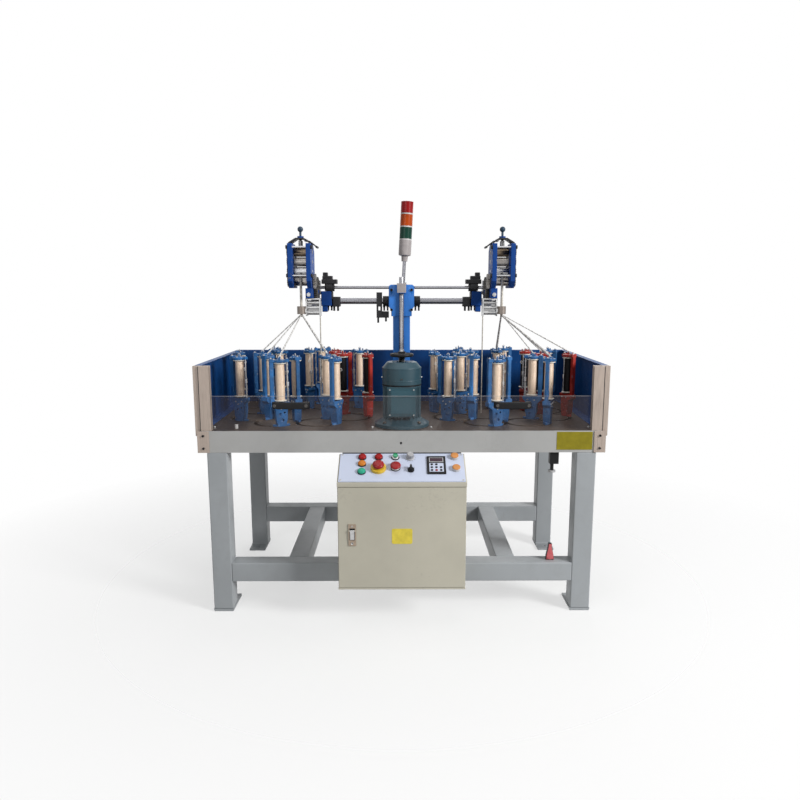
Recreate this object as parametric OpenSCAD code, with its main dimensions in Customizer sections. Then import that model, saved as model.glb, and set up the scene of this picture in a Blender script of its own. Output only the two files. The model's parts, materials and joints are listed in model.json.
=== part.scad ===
// Two-head braiding machine: a welded stand, a gear table that carries two rings of
// bobbin carriers, a take-up unit over each ring and a control cabinet in front.
// Sizes are in millimetres. The origin is on the floor, midway between the four anchor
// holes. X runs along the table, Y to the rear and Z up.

/* [Stand] */
// Square tube of the legs and rails
tube = 80; // [60:1:90]
// Wall of the square tube
tube_wall = 4; // [2:0.5:8]
// Width over the legs
stand_w = 1561; // [1480:1:1590]
// Depth over the legs, and of the table
stand_d = 857; // [850:1:920]
// Height of the legs, up to the underside of the table
leg_h = 676; // [620:1:740]
// Height of the underside of the lower rails
rail_z = 130; // [60:1:180]
// Distance of each cross rail from the middle
cross_x = 436; // [300:1:600]
// Length of a foot plate
foot_l = 155; // [130:1:220]
// Thickness of a foot plate
foot_t = 10; // [6:0.5:20]
// Anchor hole in a foot plate
anchor_d = 14; // [8:0.5:20]

/* [Table] */
// Width of the table
table_w = 1600; // [1595:1:1640]
// Height of the apron
apron_h = 87; // [85:1:110]
// Thickness of the apron web, which ends as a rim round the deck
rim_t = 10; // [6:0.5:14]
// Width of the lower flange that the bed plate lies on
flange_w = 60; // [40:1:70]
// Width of the upper ledge that the track plate lies on
ledge_w = 32; // [20:1:40]
// Thickness of those flanges
flange_t = 8; // [5:0.5:10]
// Thickness of the track plate
plate_t = 14; // [10:0.5:16]
// Thickness of the bed plate under the gears
bed_t = 12; // [8:0.5:14]

/* [Gear train] */
// Module of the table gears
gear_module = 5.5; // [5.4:0.02:5.6]
// Teeth on a horn gear
horn_teeth = 32; // [32]
// Teeth on the drive gear between the heads
drive_teeth = 52; // [52]
// Teeth on the motor pinion
pinion_teeth = 14; // [14]
// Teeth on the gear of the take-up shaft
takeup_teeth = 40; // [40]
// Face width of the table gears
gear_w = 18; // [12:0.5:19]
// Depth position of both head centres
head_y = -20; // [-25:0.5:-5]
// Diameter of the fixed axle of a horn gear
axle_d = 25; // [16:0.5:32]
// Width of the carrier track
slot_w = 16; // [15:0.5:20]
// Thickness of the horn plate
horn_t = 7.5; // [4:0.5:9]

/* [Carriers] */
// Length of a bobbin
bobbin_l = 157; // [120:1:175]
// Diameter of the bobbin flanges
flange_d = 51; // [42:0.5:56]
// Thickness of a bobbin flange
bobbin_flange_t = 4; // [2:0.5:8]
// Diameter of the bobbin barrel
barrel_d = 24; // [16:0.5:28]
// Diameter of the yarn wound on the bobbin
yarn_pack_d = 37; // [30:0.5:42]
// Diameter of the spindle
spindle_d = 10; // [6:0.5:14]
// Height of the carrier casting above the deck
casting_h = 100; // [80:1:115]
// Thickness of the carrier casting
casting_t = 30; // [20:1:36]
// Width of the carrier post
post_w = 16; // [10:0.5:20]
// Diameter of a yarn, plied from the ends of one carrier
yarn_d = 3; // [1:0.1:4]

/* [Guard] */
// Width over the side panels
guard_w = 1650; // [1646:1:1680]
// Height of the guard above the deck
guard_h = 259; // [200:1:300]
// Depth position of the rear panel's front face
guard_rear = 352; // [340:1:375]
// Thickness of the guard sheet
sheet_t = 3; // [1.5:0.5:5]
// Width of the folded lips
lip_w = 25; // [15:1:30]
// Width of the front channel post
channel_w = 42; // [34:1:46]
// Height of the clear shield
shield_h = 139; // [110:1:150]
// Thickness of the clear shield
shield_t = 5; // [3:0.5:8]
// Length of a shield handle
handle_l = 150; // [120:1:180]
// Height of a shield handle's middle above the deck
handle_z = 104; // [60:1:115]

/* [Motor] */
// Diameter of the mounting flange
motor_flange_d = 226; // [180:1:240]
// Diameter over the cooling fins
motor_d = 158; // [130:1:165]
// Height of the motor frame, up to the cowl
motor_frame_h = 174; // [150:1:190]
// Height of the fan cowl
cowl_h = 90; // [70:1:110]
// Diameter of the motor shaft
motor_shaft_d = 24; // [16:0.5:30]
// Diameter of the hand wheel
wheel_d = 97; // [80:1:130]

/* [Column] */
// Square tube of the column
column_w = 80; // [60:1:90]
// Height of the column head's underside
head_z = 1196; // [1150:1:1200]
// Width of the column head
head_w = 119; // [100:1:130]
// Depth of the column head
head_d = 96; // [92:1:120]
// Diameter of the vertical take-up shaft
shaft_d = 22; // [16:0.5:26]
// Diameter of the cross shaft
cross_d = 14; // [10:0.5:18]
// Diameter of the arm tubes
arm_d = 29; // [22:0.5:36]
// Height of the arm tubes
arm_z = 1266; // [1262:1:1270]
// Height of the cross shaft
cross_z = 1329; // [1322:1:1332]
// Lean of the signal lamp
lamp_lean = 3; // [0:0.5:5]
// Diameter of the signal lamp
lamp_d = 58; // [40:1:70]
// Height of one lens of the signal lamp
lens_h = 52; // [40:1:60]

/* [Take-up] */
// Width over the cheeks of a take-up unit
unit_w = 100; // [92:1:110]
// Thickness of a cheek
cheek_t = 20; // [12:0.5:21]
// Height of the underside of the cheeks
cheek_z = 1325; // [1320:1:1328]
// Height of a cheek
cheek_h = 191; // [185:1:200]
// Diameter of a take-up roller
roller_d = 40; // [36:0.5:41]
// Diameter of a roller shaft
roller_shaft_d = 16; // [12:0.5:18]
// Height of the lowest roller above the underside of the cheeks
roller_low = 30; // [28:0.5:33]
// Module of the take-up gears
fine_module = 3; // [3]
// Teeth on the gears that link the rollers
link_teeth = 14; // [14]
// Teeth on the driving gears of the take-up
step_teeth = 20; // [20]
// Teeth on the idler of the take-up
idler_teeth = 42; // [42]
// Diameter of the finished braid
braid_d = 11; // [8:0.5:12]

/* [Cabinet] */
// Width of the cabinet
cabinet_w = 500; // [480:1:600]
// Height of the underside of the cabinet
cabinet_z = 157; // [132:1:170]
// Height of the front lip of the console
console_z = 590; // [560:1:610]
// Distance of the console lip in front of the table
console_out = 143.5; // [130:0.5:180]
// Gap between the console and the table
console_gap = 5; // [1:0.5:20]
// Wall of the cabinet
cabinet_wall = 3; // [1.5:0.5:4]
// Thickness of the console fascia
fascia_t = 4; // [2:0.5:6]

/* [Fits] */
// Radial clearance of a shaft in its bore
run = 0.1; // [0.05:0.01:0.2]
// Clearance between a moving piece and what it rests on
rest_gap = 0.3; // [0.2:0.05:0.6]
// Gap between pieces that are screwed or pressed together
seat_gap = 0.05; // [0.02:0.01:0.1]

/* [Hidden] */
$fn = 48;

royal_blue = [0.10, 0.30, 0.68];
guard_blue = [0.07, 0.22, 0.50];
signal_red = [0.75, 0.12, 0.08];
stand_grey = [0.66, 0.68, 0.68];
cabinet_beige = [0.74, 0.71, 0.63];
motor_green = [0.22, 0.42, 0.42];
steel = [0.72, 0.73, 0.75];
dark_steel = [0.30, 0.28, 0.26];
black = [0.08, 0.08, 0.09];
cream = [0.86, 0.78, 0.62];
aluminium = [0.80, 0.76, 0.72];

// Stand
leg_x = (stand_w - tube) / 2;
leg_y = (stand_d - tube) / 2;
rail_l = stand_w - 2 * tube;
anchor_y = stand_d / 2 - tube - (foot_l - tube) / 2;

// Table levels
deck_z = leg_h + apron_h;
bed_z = leg_h + flange_t;
bed_top = bed_z + bed_t;
plate_z = deck_z - plate_t;
plate_fit = 0.5;
horn_gap = 3.5;
foot_room = 8;
horn_z = plate_z - horn_gap - horn_t;
gear_z = horn_z - foot_room - gear_w;

// Gear train
gears = 8;
half_step = 180 / gears;
horn_r = gear_module * horn_teeth / 2;
drive_r = gear_module * drive_teeth / 2;
pinion_r = gear_module * pinion_teeth / 2;
takeup_r = gear_module * takeup_teeth / 2;
ring_r = horn_r / sin(half_step);
head_x = drive_r + horn_r + ring_r * cos(half_step);
drive_y = head_y - horn_r;
motor_y = drive_y - drive_r - pinion_r;
shaft_y = drive_y + drive_r + takeup_r;
hub_r = axle_d / 2 + 10;
drive_axle_d = 30;
pillar_d = 60;
lighten_d = 34;
addendum = 0.9;
dedendum = 1.1;
tip_share = 0.11;
root_share = 0.30;

// Carriers, with heights counted from the deck
stem_d = slot_w - 2;
foot_d = stem_d + 8;
foot_h = 4;
shoe_l = 72;
shoe_w = 30;
shoe_h = 8;
boss_h = 5;
bobbin_z = casting_h + boss_h + rest_gap;
pack_gap = 0.1;
crown_z = bobbin_z + bobbin_l + 3;
crown_h = 9;
post_x = -35;
post_t = 14;
guide_rod_x = 31;
guide_rod_d = 5;
pin_h = 11;
carrier_angles = [45, 135];
threaded = [
    [[3, 1, 165], [4, 1, 208], [5, 0, 250], [6, 1, 315], [1, 0, 68]],
    [[6, 0, 272], [6, 1, 308], [7, 0, 344], [7, 1, 20], [1, 1, 90]]
];
yarn_start = deck_z + crown_z + crown_h + pin_h;

// Guard
guard_top = deck_z + guard_h;
guard_foot = 40;
channel_d = 30;
channel_front = 7;
channel_slot = 9;
strip_w = 23;
strip_drop = 22;
post_y = -stand_d / 2 + 8;
guard_front = post_y + channel_d;
channel_x = guard_w / 2 - strip_w - channel_w;
shield_y = post_y + channel_front + (channel_slot - shield_t) / 2;
shield_x = channel_x + channel_w - 9;
tab_w = 47;
tab_t = 4;
tab_hole_d = 6;
handle_x = 440;
handle_h = 28;
handle_d = 30;
finger_d = 18;

// Motor
motor_core_d = motor_d - 18;
fin_pairs = 13;
fin_t = 4.5;
motor_top = deck_z + motor_frame_h + cowl_h;
box_w = 118;
box_h = 120;
box_out = 100;
cowl_wall = 3;

// Column
column_gap = 6;
cross_y = shaft_y + shaft_d / 2 + 15 + cross_d / 2;
column_y = shaft_y + shaft_d / 2 + column_gap + column_w / 2;
head_front = column_y - head_d / 2;
head_neck = 26;
head_h = 146;
socket_fit = 0.2;
base_w = 150;
base_t = 12;
shaft_top = head_z + 180;
worm_box_w = 42;
worm_box_h = 46;
clamp_w = 28;
pole_d = 16;
pole_x = 8;
pole_l = 107;
lamp_base_h = 97;
lamp_neck_h = 30;
lens_gap = 6;

// Take-up unit, with X counted outwards from the unit's middle
braid_y = head_y;
takeup_y = braid_y + roller_d / 2 + braid_d / 2 + rest_gap;
link_r = fine_module * link_teeth / 2;
step_r = fine_module * step_teeth / 2;
idler_r = fine_module * idler_teeth / 2;
roller_pitch = 2 * link_r;
roller_z = [for (k = [3 : -1 : 0]) cheek_z + roller_low + k * roller_pitch];
roller_w = unit_w - 2 * cheek_t - 6;
cheek_front = takeup_y - 70;
cheek_rear = takeup_y + 80;
cheek_top = cheek_z + cheek_h;
fine_w = 10;
step_w = 12;
link_x = unit_w / 2 + 1;
step_x = -unit_w / 2 - 3 - step_w;
bracket_t = 28;
bracket_z = cheek_z - 44;
idler_axle_d = 16;
train_span = norm([cross_y - takeup_y, cross_z - roller_z[3]]);
train_dir = atan2(cross_z - roller_z[3], cross_y - takeup_y);
train_rise = acos(train_span / 2 / (step_r + idler_r));
idler_dir = train_dir - train_rise;
idler_y = takeup_y + (step_r + idler_r) * cos(idler_dir);
idler_z = roller_z[3] + (step_r + idler_r) * sin(idler_dir);
cross_dir = atan2(cross_z - idler_z, cross_y - idler_y);
arm_end = head_x - unit_w / 2 + bracket_t - 4;
tie_d = 8;
tie_places = [
    [cheek_front + 9, cheek_z + 54], [cheek_front + 9, cheek_top - 16],
    [cheek_rear - 9, cheek_z + 54], [cheek_rear - 52, cheek_top - 14]
];
bridge_t = 6;
bridge_h = 25;
screw_d = 12;
screw_top = cheek_top + 63;
ball_d = 25;
frame_z = bracket_z - 78;
frame_in = -84;
frame_out = -18;
guide_z = [for (k = [0 : 2]) frame_z + 15 + 22 * k];
guide_roller_d = 20;
guide_frame_d = 40;
ring_d = 38;
ring_bore = 26;
ring_z = frame_z + 9;
braid_low = ring_z - 12;
braid_high = roller_z[3] + roller_pitch / 2 + 8;
bundle_r = braid_d / 2 + yarn_d / 2 + 0.2;
core_d = 5;
core_x = 80;

// Cabinet
cabinet_back = -stand_d / 2;
lip_y = cabinet_back - console_out;
console_top = leg_h - console_gap;
lip_h = 17;
lip_d = 16;
sill_h = 6;
door_gap = 2;
door_t = lip_d - 2.5;
door_w = cabinet_w - 7;
door_z = [cabinet_z + sill_h + door_gap, console_z - lip_h - door_gap];
hinge_x = door_w / 2 - 3;
hinge_y = lip_y + 6;
hinge_pin_d = 5;
hinge_block = 14;
latch_x = 57 - cabinet_w / 2;
latch_z = (door_z[0] + door_z[1]) / 2 + 14;
latch_w = 30;
latch_h = 88;
latch_t = 3;
paddle_w = 17;
paddle_l = 36;
paddle_t = 4;
paddle_pin_d = 2.4;
paddle_y = lip_y - latch_t - 3.3;
paddle_z = latch_z + 18;
console_slope = atan2(console_top - console_z, console_out);
console_l = norm([console_out, console_top - console_z]);
lamp_left = 93 - cabinet_w / 2;
stop_left = 158 - cabinet_w / 2;
lamp_right = cabinet_w / 2 - 41;
lamp_places = [
    [lamp_left, 138], [lamp_left, 100], [lamp_left, 56], [stop_left, 138],
    [lamp_right, 138], [lamp_right + 3, 71]
];
estop_place = [stop_left, 74];
stop_place = [-25, 78];
start_place = [-26, 138];
knob_place = [33, 136];
selector_place = [35, 65];
keypad_place = [cabinet_w / 2 - 115, 92];
keypad_size = [74, 100];
button_stem_d = 16;
estop_base_d = 60;
estop_base_h = 12;
collar_d = 34;
lamp_collar_d = 29;
collar_h = 7;
press = 4;
estop_press = 6;

// Switch under the table
switch_x = 616;
switch_size = [36, 30, 52];

// Outline of a gear: a straight-flanked tooth with room for backlash
function gear_outline(teeth, m, phase) = [
    for (k = [0 : teeth - 1], c = [
        [-root_share, -dedendum], [-tip_share, addendum],
        [tip_share, addendum], [root_share, -dedendum]
    ])
        let (a = phase + (k + c[0]) * 360 / teeth, r = m * (teeth / 2 + c[1]))
        r * [cos(a), sin(a)]
];

// Turn of a gear whose gap faces a tooth of the one before it, which lies the other way
function mate(phase, teeth, next_teeth, dir) =
    dir + 180 - 360 / next_teeth * (0.5 - (dir - phase) * teeth / 360);

// Places and turns of the horn gears: side is -1 for the left head and 1 for the right
function horn_angle(i) = half_step * (2 * i + 1);
function horn_place(side, i) =
    [side * head_x, head_y] + ring_r * [cos(horn_angle(i)), sin(horn_angle(i))];
function even_turn(side) = side > 0
    ? mate(0, drive_teeth, horn_teeth, 0) - horn_angle(4)
    : horn_angle(7) - mate(0, drive_teeth, horn_teeth, 180) - 180 / horn_teeth;
function horn_turn(side, i) =
    i % 2 == 0 ? even_turn(side) : -even_turn(side) - 180 / horn_teeth;
function carrier_place(side, i, k) =
    let (a = horn_angle(i) + carrier_angles[k])
    horn_place(side, i) + horn_r * [cos(a), sin(a)];
function is_red(i, k) = i == 7 || (i == 0 && k == 1);

// Channel section of the table, counted inwards from its outer lower edge
function channel_section() = [
    [0, 0], [flange_w, 0], [flange_w, flange_t], [rim_t, flange_t],
    [rim_t, apron_h - plate_t - flange_t], [ledge_w, apron_h - plate_t - flange_t],
    [ledge_w, apron_h - plate_t], [rim_t, apron_h - plate_t], [rim_t, apron_h], [0, apron_h]
];

module block(low, high) {
    translate(low) cube(high - low);
}

// A Y-Z outline drawn out along X
module along_x(x0, x1) {
    translate([x0, 0, 0]) rotate([90, 0, 90]) linear_extrude(x1 - x0) children();
}

// An X-Z outline drawn out along Y
module along_y(y0, y1) {
    translate([0, y1, 0]) rotate([90, 0, 0]) linear_extrude(y1 - y0) children();
}

module rod_x(x0, x1, y, z, d) {
    translate([x0, y, z]) rotate([0, 90, 0]) cylinder(d = d, h = x1 - x0);
}

module both_sides() {
    children();
    mirror([1, 0, 0]) children();
}

module square_tube(size, axis) {
    difference() {
        cube(size, center = true);
        cube([for (k = [0 : 2]) k == axis ? size[k] + 1 : size[k] - 2 * tube_wall], center = true);
    }
}

// A straight strand between two points
module strand(a, b, d) {
    v = b - a;
    translate(a) rotate([0, acos(v[2] / norm(v)), atan2(v[1], v[0])])
        cylinder(d = d, h = norm(v), $fn = 16);
}

// Take-up units: the right one as drawn, the left one mirrored
module at_units() {
    both_sides() translate([head_x, 0, 0]) children();
}

// Frame of the sloping console: X along it, Y up the slope and Z out of it
module on_console(place) {
    translate([place[0], lip_y, console_z]) rotate([console_slope, 0, 0])
        translate([0, place[1], 0]) children();
}

module stand_frame() {
    color(stand_grey) {
        for (sx = [-1, 1], sy = [-1, 1]) {
            translate([sx * leg_x, sy * leg_y, (leg_h + foot_t) / 2])
                square_tube([tube, tube, leg_h - foot_t], 2);
            translate([sx * leg_x, sy * (stand_d - foot_l) / 2, foot_t / 2])
                difference() {
                    cube([tube, foot_l, foot_t], center = true);
                    translate([0, sy * (anchor_y - (stand_d - foot_l) / 2), -foot_t])
                        cylinder(d = anchor_d, h = 2 * foot_t);
                }
        }
        for (s = [-1, 1]) {
            translate([0, s * leg_y, rail_z + tube / 2]) square_tube([rail_l, tube, tube], 0);
            translate([s * cross_x, 0, rail_z + tube / 2])
                square_tube([tube, stand_d - 2 * tube, tube], 1);
        }
    }
}

module table_beams() {
    color(stand_grey) {
        for (s = [0, 1]) mirror([0, s, 0]) {
            translate([0, -stand_d / 2, leg_h]) {
                along_x(-table_w / 2, table_w / 2) polygon(channel_section());
                both_sides() block([table_w / 2 - rim_t, 0, 0], [table_w / 2, flange_w, apron_h]);
            }
        }
        both_sides() translate([-table_w / 2, 0, leg_h])
            along_y(flange_w - stand_d / 2, stand_d / 2 - flange_w) polygon(channel_section());
    }
}

module inside_rim(z0, z1) {
    x = table_w / 2 - rim_t - plate_fit;
    y = stand_d / 2 - rim_t - plate_fit;
    block([-x, -y, z0], [x, y, z1]);
}

// Bed plate with the fixed axles and the pillars of the ring centres
module gear_bed() {
    color(dark_steel) {
        difference() {
            inside_rim(bed_z, bed_top);
            translate([0, shaft_y, bed_z - 1]) cylinder(d = shaft_d + 2 * run, h = bed_t + 2);
        }
        axle_z = bed_top + seat_gap;
        translate([0, drive_y, axle_z]) cylinder(d = drive_axle_d, h = plate_z - axle_z);
        for (s = [-1, 1]) {
            translate([s * head_x, head_y, axle_z]) cylinder(d = pillar_d, h = plate_z - axle_z);
            for (i = [0 : gears - 1])
                translate(concat(horn_place(s, i), axle_z)) cylinder(d = axle_d, h = plate_z - axle_z);
        }
    }
}

module horn_discs(side, r) {
    for (i = [0 : gears - 1])
        translate(concat(horn_place(side, i), plate_z - 1)) cylinder(r = r, h = plate_t + 2, $fn = 96);
}

// Deck with its two scalloped tracks: outer plate, centre islands and a quoit in each loop
module track_plate() {
    slot_out = horn_r + slot_w / 2;
    overlap = sqrt(slot_out * slot_out - horn_r * horn_r);
    island_r = ring_r * cos(half_step) - overlap / 2;
    color(dark_steel) {
        difference() {
            inside_rim(plate_z, deck_z);
            for (s = [-1, 1]) {
                horn_discs(s, slot_out);
                translate([s * head_x, head_y, plate_z - 1]) cylinder(r = island_r, h = plate_t + 2);
            }
            translate([0, shaft_y, plate_z - 1]) cylinder(d = shaft_d + 2 * run, h = plate_t + 2);
            translate([0, motor_y, plate_z - 1]) cylinder(d = motor_shaft_d + 20, h = plate_t + 2);
        }
        for (s = [-1, 1]) {
            difference() {
                translate([s * head_x, head_y, plate_z]) cylinder(r = island_r, h = plate_t);
                horn_discs(s, slot_out);
            }
            for (i = [0 : gears - 1])
                translate(concat(horn_place(s, i), plate_z))
                    cylinder(r = horn_r - slot_w / 2, h = plate_t, $fn = 96);
        }
    }
}

// Side panel section, with a lip folded inwards at its top and a foot on the deck rim
function panel_section() = [
    [0, 0], [0, guard_h], [-lip_w, guard_h], [-lip_w, guard_h - sheet_t],
    [-sheet_t, guard_h - sheet_t], [-sheet_t, sheet_t], [-guard_foot, sheet_t], [-guard_foot, 0]
];

module guard_panels() {
    color(guard_blue) {
        both_sides() translate([guard_w / 2, 0, deck_z])
            along_y(guard_front, guard_rear) polygon(panel_section());
        translate([0, guard_rear + seat_gap, deck_z])
            along_x(-guard_w / 2, guard_w / 2)
                polygon([for (p = panel_section()) [-p[0], p[1]]]);
    }
}

// Front channels that the shield slides in, with the side strip and the corner tab
module guard_posts() {
    color(aluminium) both_sides() {
        difference() {
            union() {
                block([channel_x, post_y, deck_z],
                      [channel_x + channel_w, post_y + channel_d, guard_top]);
                block([guard_w / 2 - strip_w, post_y + 6, deck_z],
                      [guard_w / 2, post_y + channel_d, guard_top]);
                block([table_w / 2 + plate_fit, post_y + 6, deck_z - strip_drop],
                      [guard_w / 2, post_y + channel_d, deck_z]);
            }
            block([channel_x - 1, post_y + channel_front, deck_z - 1],
                  [channel_x + channel_w - 7, post_y + channel_front + channel_slot, guard_top + 1]);
        }
        difference() {
            block([table_w / 2 + 15 - tab_w, -stand_d / 2 - tab_t, leg_h],
                  [table_w / 2 + 15, -stand_d / 2, deck_z]);
            for (z = [leg_h + 18, deck_z - 18])
                translate([table_w / 2 - 9, -stand_d / 2 + 1, z]) rotate([90, 0, 0])
                    cylinder(d = tab_hole_d, h = tab_t + 2);
        }
    }
}

module front_shield() {
    color([0.55, 0.50, 0.47, 0.5])
        block([-shield_x, shield_y, deck_z + rest_gap],
              [shield_x, shield_y + shield_t, deck_z + shield_h]);
}

// Bow handles: two feet on the shield and a bar that leaves room for the fingers
module shield_handles() {
    a = handle_l / 2;
    color(black) for (s = [-1, 1])
        translate([s * handle_x, shield_y, deck_z + handle_z - handle_h / 2])
            linear_extrude(handle_h) polygon([
                [-a, 0], [-a, -handle_d / 2], [-a + 15, -handle_d], [a - 15, -handle_d],
                [a, -handle_d / 2], [a, 0], [a - 23, 0], [a - 31, -finger_d],
                [-a + 31, -finger_d], [-a + 23, 0]
            ]);
}

// Flange motor standing on the deck, with cooling fins and a terminal box
module motor_frame() {
    color(motor_green) translate([0, motor_y, deck_z]) difference() {
        union() {
            rotate_extrude($fn = 96) polygon([
                [0, 0], [motor_flange_d / 2, 0], [motor_flange_d / 2, 13],
                [motor_flange_d / 2 - 14, 20], [motor_core_d / 2 + 8, 34],
                [motor_core_d / 2, 40], [motor_core_d / 2, motor_frame_h - 14],
                [motor_d / 2 + 1, motor_frame_h - 10], [motor_d / 2 + 1, motor_frame_h],
                [0, motor_frame_h]
            ]);
            for (k = [0 : fin_pairs - 1]) rotate([0, 0, 180 * (k + 0.5) / fin_pairs])
                translate([-motor_d / 2, -fin_t / 2, 26])
                    cube([motor_d, fin_t, motor_frame_h - 36]);
            block([-box_w / 2 + 6, -box_out + 12, motor_frame_h - box_h],
                  [box_w / 2 - 6, -motor_core_d / 4, motor_frame_h - 8]);
            block([-box_w / 2, -box_out, motor_frame_h - box_h - 4],
                  [box_w / 2, -box_out + 14, motor_frame_h - 4]);
        }
        translate([0, 0, -1]) cylinder(d = motor_shaft_d + 2 * run, h = motor_frame_h + 2);
        for (k = [0 : 3]) rotate([0, 0, 45 + 90 * k])
            translate([motor_flange_d / 2 - 13, 0, -1]) cylinder(d = 11, h = 40);
    }
}

module fan_cowl() {
    r = motor_d / 2 + 1;
    color(motor_green) translate([0, motor_y, deck_z + motor_frame_h]) difference() {
        rotate_extrude($fn = 96) polygon([
            [r - cowl_wall, 0], [r, 0], [r, cowl_h - 22], [r - 20, cowl_h],
            [motor_shaft_d / 2 + 8, cowl_h], [motor_shaft_d / 2 + 8, cowl_h - cowl_wall],
            [r - 21.5, cowl_h - cowl_wall], [r - cowl_wall, cowl_h - 23.5]
        ]);
        for (k = [0 : 11]) rotate([0, 0, 30 * k])
            translate([motor_d / 4 + 1, 0, cowl_h - cowl_wall - 1]) cylinder(d = 11, h = cowl_wall + 2);
    }
}

// Shaft with its pinion and cooling fan, and the hand wheel that turns it by hand
module motor_shaft() {
    shaft_end = motor_top + 14;
    fan_z = motor_top - cowl_h + 20;
    color(steel) translate([0, motor_y, 0]) {
        translate([0, 0, gear_z - 8]) cylinder(d = motor_shaft_d, h = shaft_end - gear_z + 8);
        translate([0, 0, gear_z]) linear_extrude(gear_w)
            polygon(gear_outline(pinion_teeth, gear_module,
                                 mate(0, drive_teeth, pinion_teeth, -90)));
        translate([0, 0, fan_z]) {
            cylinder(d = 44, h = 24);
            for (k = [0 : 5]) rotate([0, 0, 60 * k]) block([15, -2, 0], [motor_d / 2 - 18, 2, 24]);
        }
    }
    color(black) translate([0, motor_y, shaft_end + seat_gap]) {
        difference() {
            union() {
                cylinder(d = 30, h = 28);
                translate([0, 0, 14]) rotate_extrude($fn = 64)
                    translate([wheel_d / 2 - 7, 0]) circle(d = 14);
                translate([0, 0, 10]) cylinder(d = wheel_d - 12, h = 8);
            }
            translate([0, 0, 22]) cylinder(d = 18, h = 10);
        }
        translate([0, 0, 22 + seat_gap]) cylinder(d = 17.6, h = 14, $fn = 6);
    }
}

module column() {
    color(royal_blue) translate([0, column_y, deck_z]) difference() {
        union() {
            block([-base_w / 2, -column_w / 2 - 4, 0], [base_w / 2, base_w - column_w / 2 - 4, base_t]);
            translate([-column_w / 2, -column_w / 2, 0]) cube([column_w, column_w, head_z + head_neck - deck_z]);
        }
        translate([tube_wall - column_w / 2, tube_wall - column_w / 2, -1])
            cube([column_w - 2 * tube_wall, column_w - 2 * tube_wall, head_z]);
        for (sx = [-1, 1], y = [8, base_w - column_w - 20])
            translate([sx * (base_w / 2 - 16), y, -1]) cylinder(d = 13, h = base_t + 2);
    }
}

// Head casting: a collar on the column, bores for the arms and the cross shaft, and the
// closed box of the worm drive round the vertical shaft
module column_head() {
    socket = column_w + 2 * socket_fit;
    a = head_w / 2;
    n = socket / 2 + 8;
    color(royal_blue) difference() {
        union() {
            along_y(head_front, head_front + head_d) polygon([
                [-n, head_z], [n, head_z], [n, head_z + head_neck], [a, head_z + head_neck + 20],
                [a, head_z + head_h - 8], [a - 8, head_z + head_h], [8 - a, head_z + head_h],
                [-a, head_z + head_h - 8], [-a, head_z + head_neck + 20], [-n, head_z + head_neck]
            ]);
            block([-worm_box_w / 2, shaft_y - shaft_d / 2 - 12, cross_z - worm_box_h / 2 - 4],
                  [worm_box_w / 2, head_front + 1, cross_z + worm_box_h / 2 - 4]);
        }
        block([-socket / 2, column_y - socket / 2, head_z - 1],
              [socket / 2, column_y + socket / 2, head_z + head_neck]);
        translate([0, shaft_y, head_z]) cylinder(d = shaft_d + 2 * run, h = 2 * head_h);
        rod_x(-head_w, head_w, cross_y, cross_z, cross_d + 2 * run);
        both_sides() rod_x(a - 22, a + 1, column_y, arm_z, arm_d + 2 * run);
    }
}

module arm_tubes() {
    color(steel) both_sides() difference() {
        rod_x(head_w / 2 - 22, arm_end, column_y, arm_z, arm_d);
        rod_x(head_w / 2 - 23, arm_end + 1, column_y, arm_z, arm_d - 7);
    }
}

module clamp_ring(x, d) {
    difference() {
        rod_x(x, x + clamp_w, column_y, arm_z, d);
        rod_x(x - 1, x + clamp_w + 1, column_y, arm_z, arm_d + 2 * run);
    }
}

// Clamp rings on the arms, and the lever block that hangs from the left one
module arm_clamps() {
    x = head_w / 2 + rest_gap;
    color(black) {
        both_sides() {
            clamp_ring(x, arm_d + 18);
            clamp_ring(head_x + step_x - clamp_w - 26, arm_d + 16);
        }
        translate([-x - clamp_w - 30, column_y - 18, arm_z - 78]) difference() {
            union() {
                block([0, 0, 0], [26, 36, 78 + arm_d / 2 + 26]);
                block([26, 4, 0], [58, 32, 30]);
            }
            translate([-1, 18, 78]) rotate([0, 90, 0]) cylinder(d = arm_d + 2 * run, h = 30);
            block([8, -1, 34], [18, 40, 52]);
        }
        for (p = [[-x - clamp_w - 23, 24], [-x - clamp_w + 14, 18]])
            translate([p[0], column_y, arm_z - 78 - p[1]]) cylinder(d = 9, h = p[1]);
    }
}

// Cheeks with their bearing bores, joined by the tie rods
module cheek_outline() {
    difference() {
        polygon([
            [cheek_front + 26, cheek_z], [cheek_rear, cheek_z], [cheek_rear, cheek_top - 30],
            [cheek_rear - 40, cheek_top], [cheek_front, cheek_top], [cheek_front, cheek_z + 30]
        ]);
        for (z = roller_z) translate([takeup_y, z]) circle(d = roller_shaft_d + 2 * run);
    }
}

module takeup_cheeks() {
    color(royal_blue) at_units() {
        along_x(-unit_w / 2, -unit_w / 2 + cheek_t) cheek_outline();
        along_x(unit_w / 2 - cheek_t, unit_w / 2) cheek_outline();
    }
}

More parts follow.
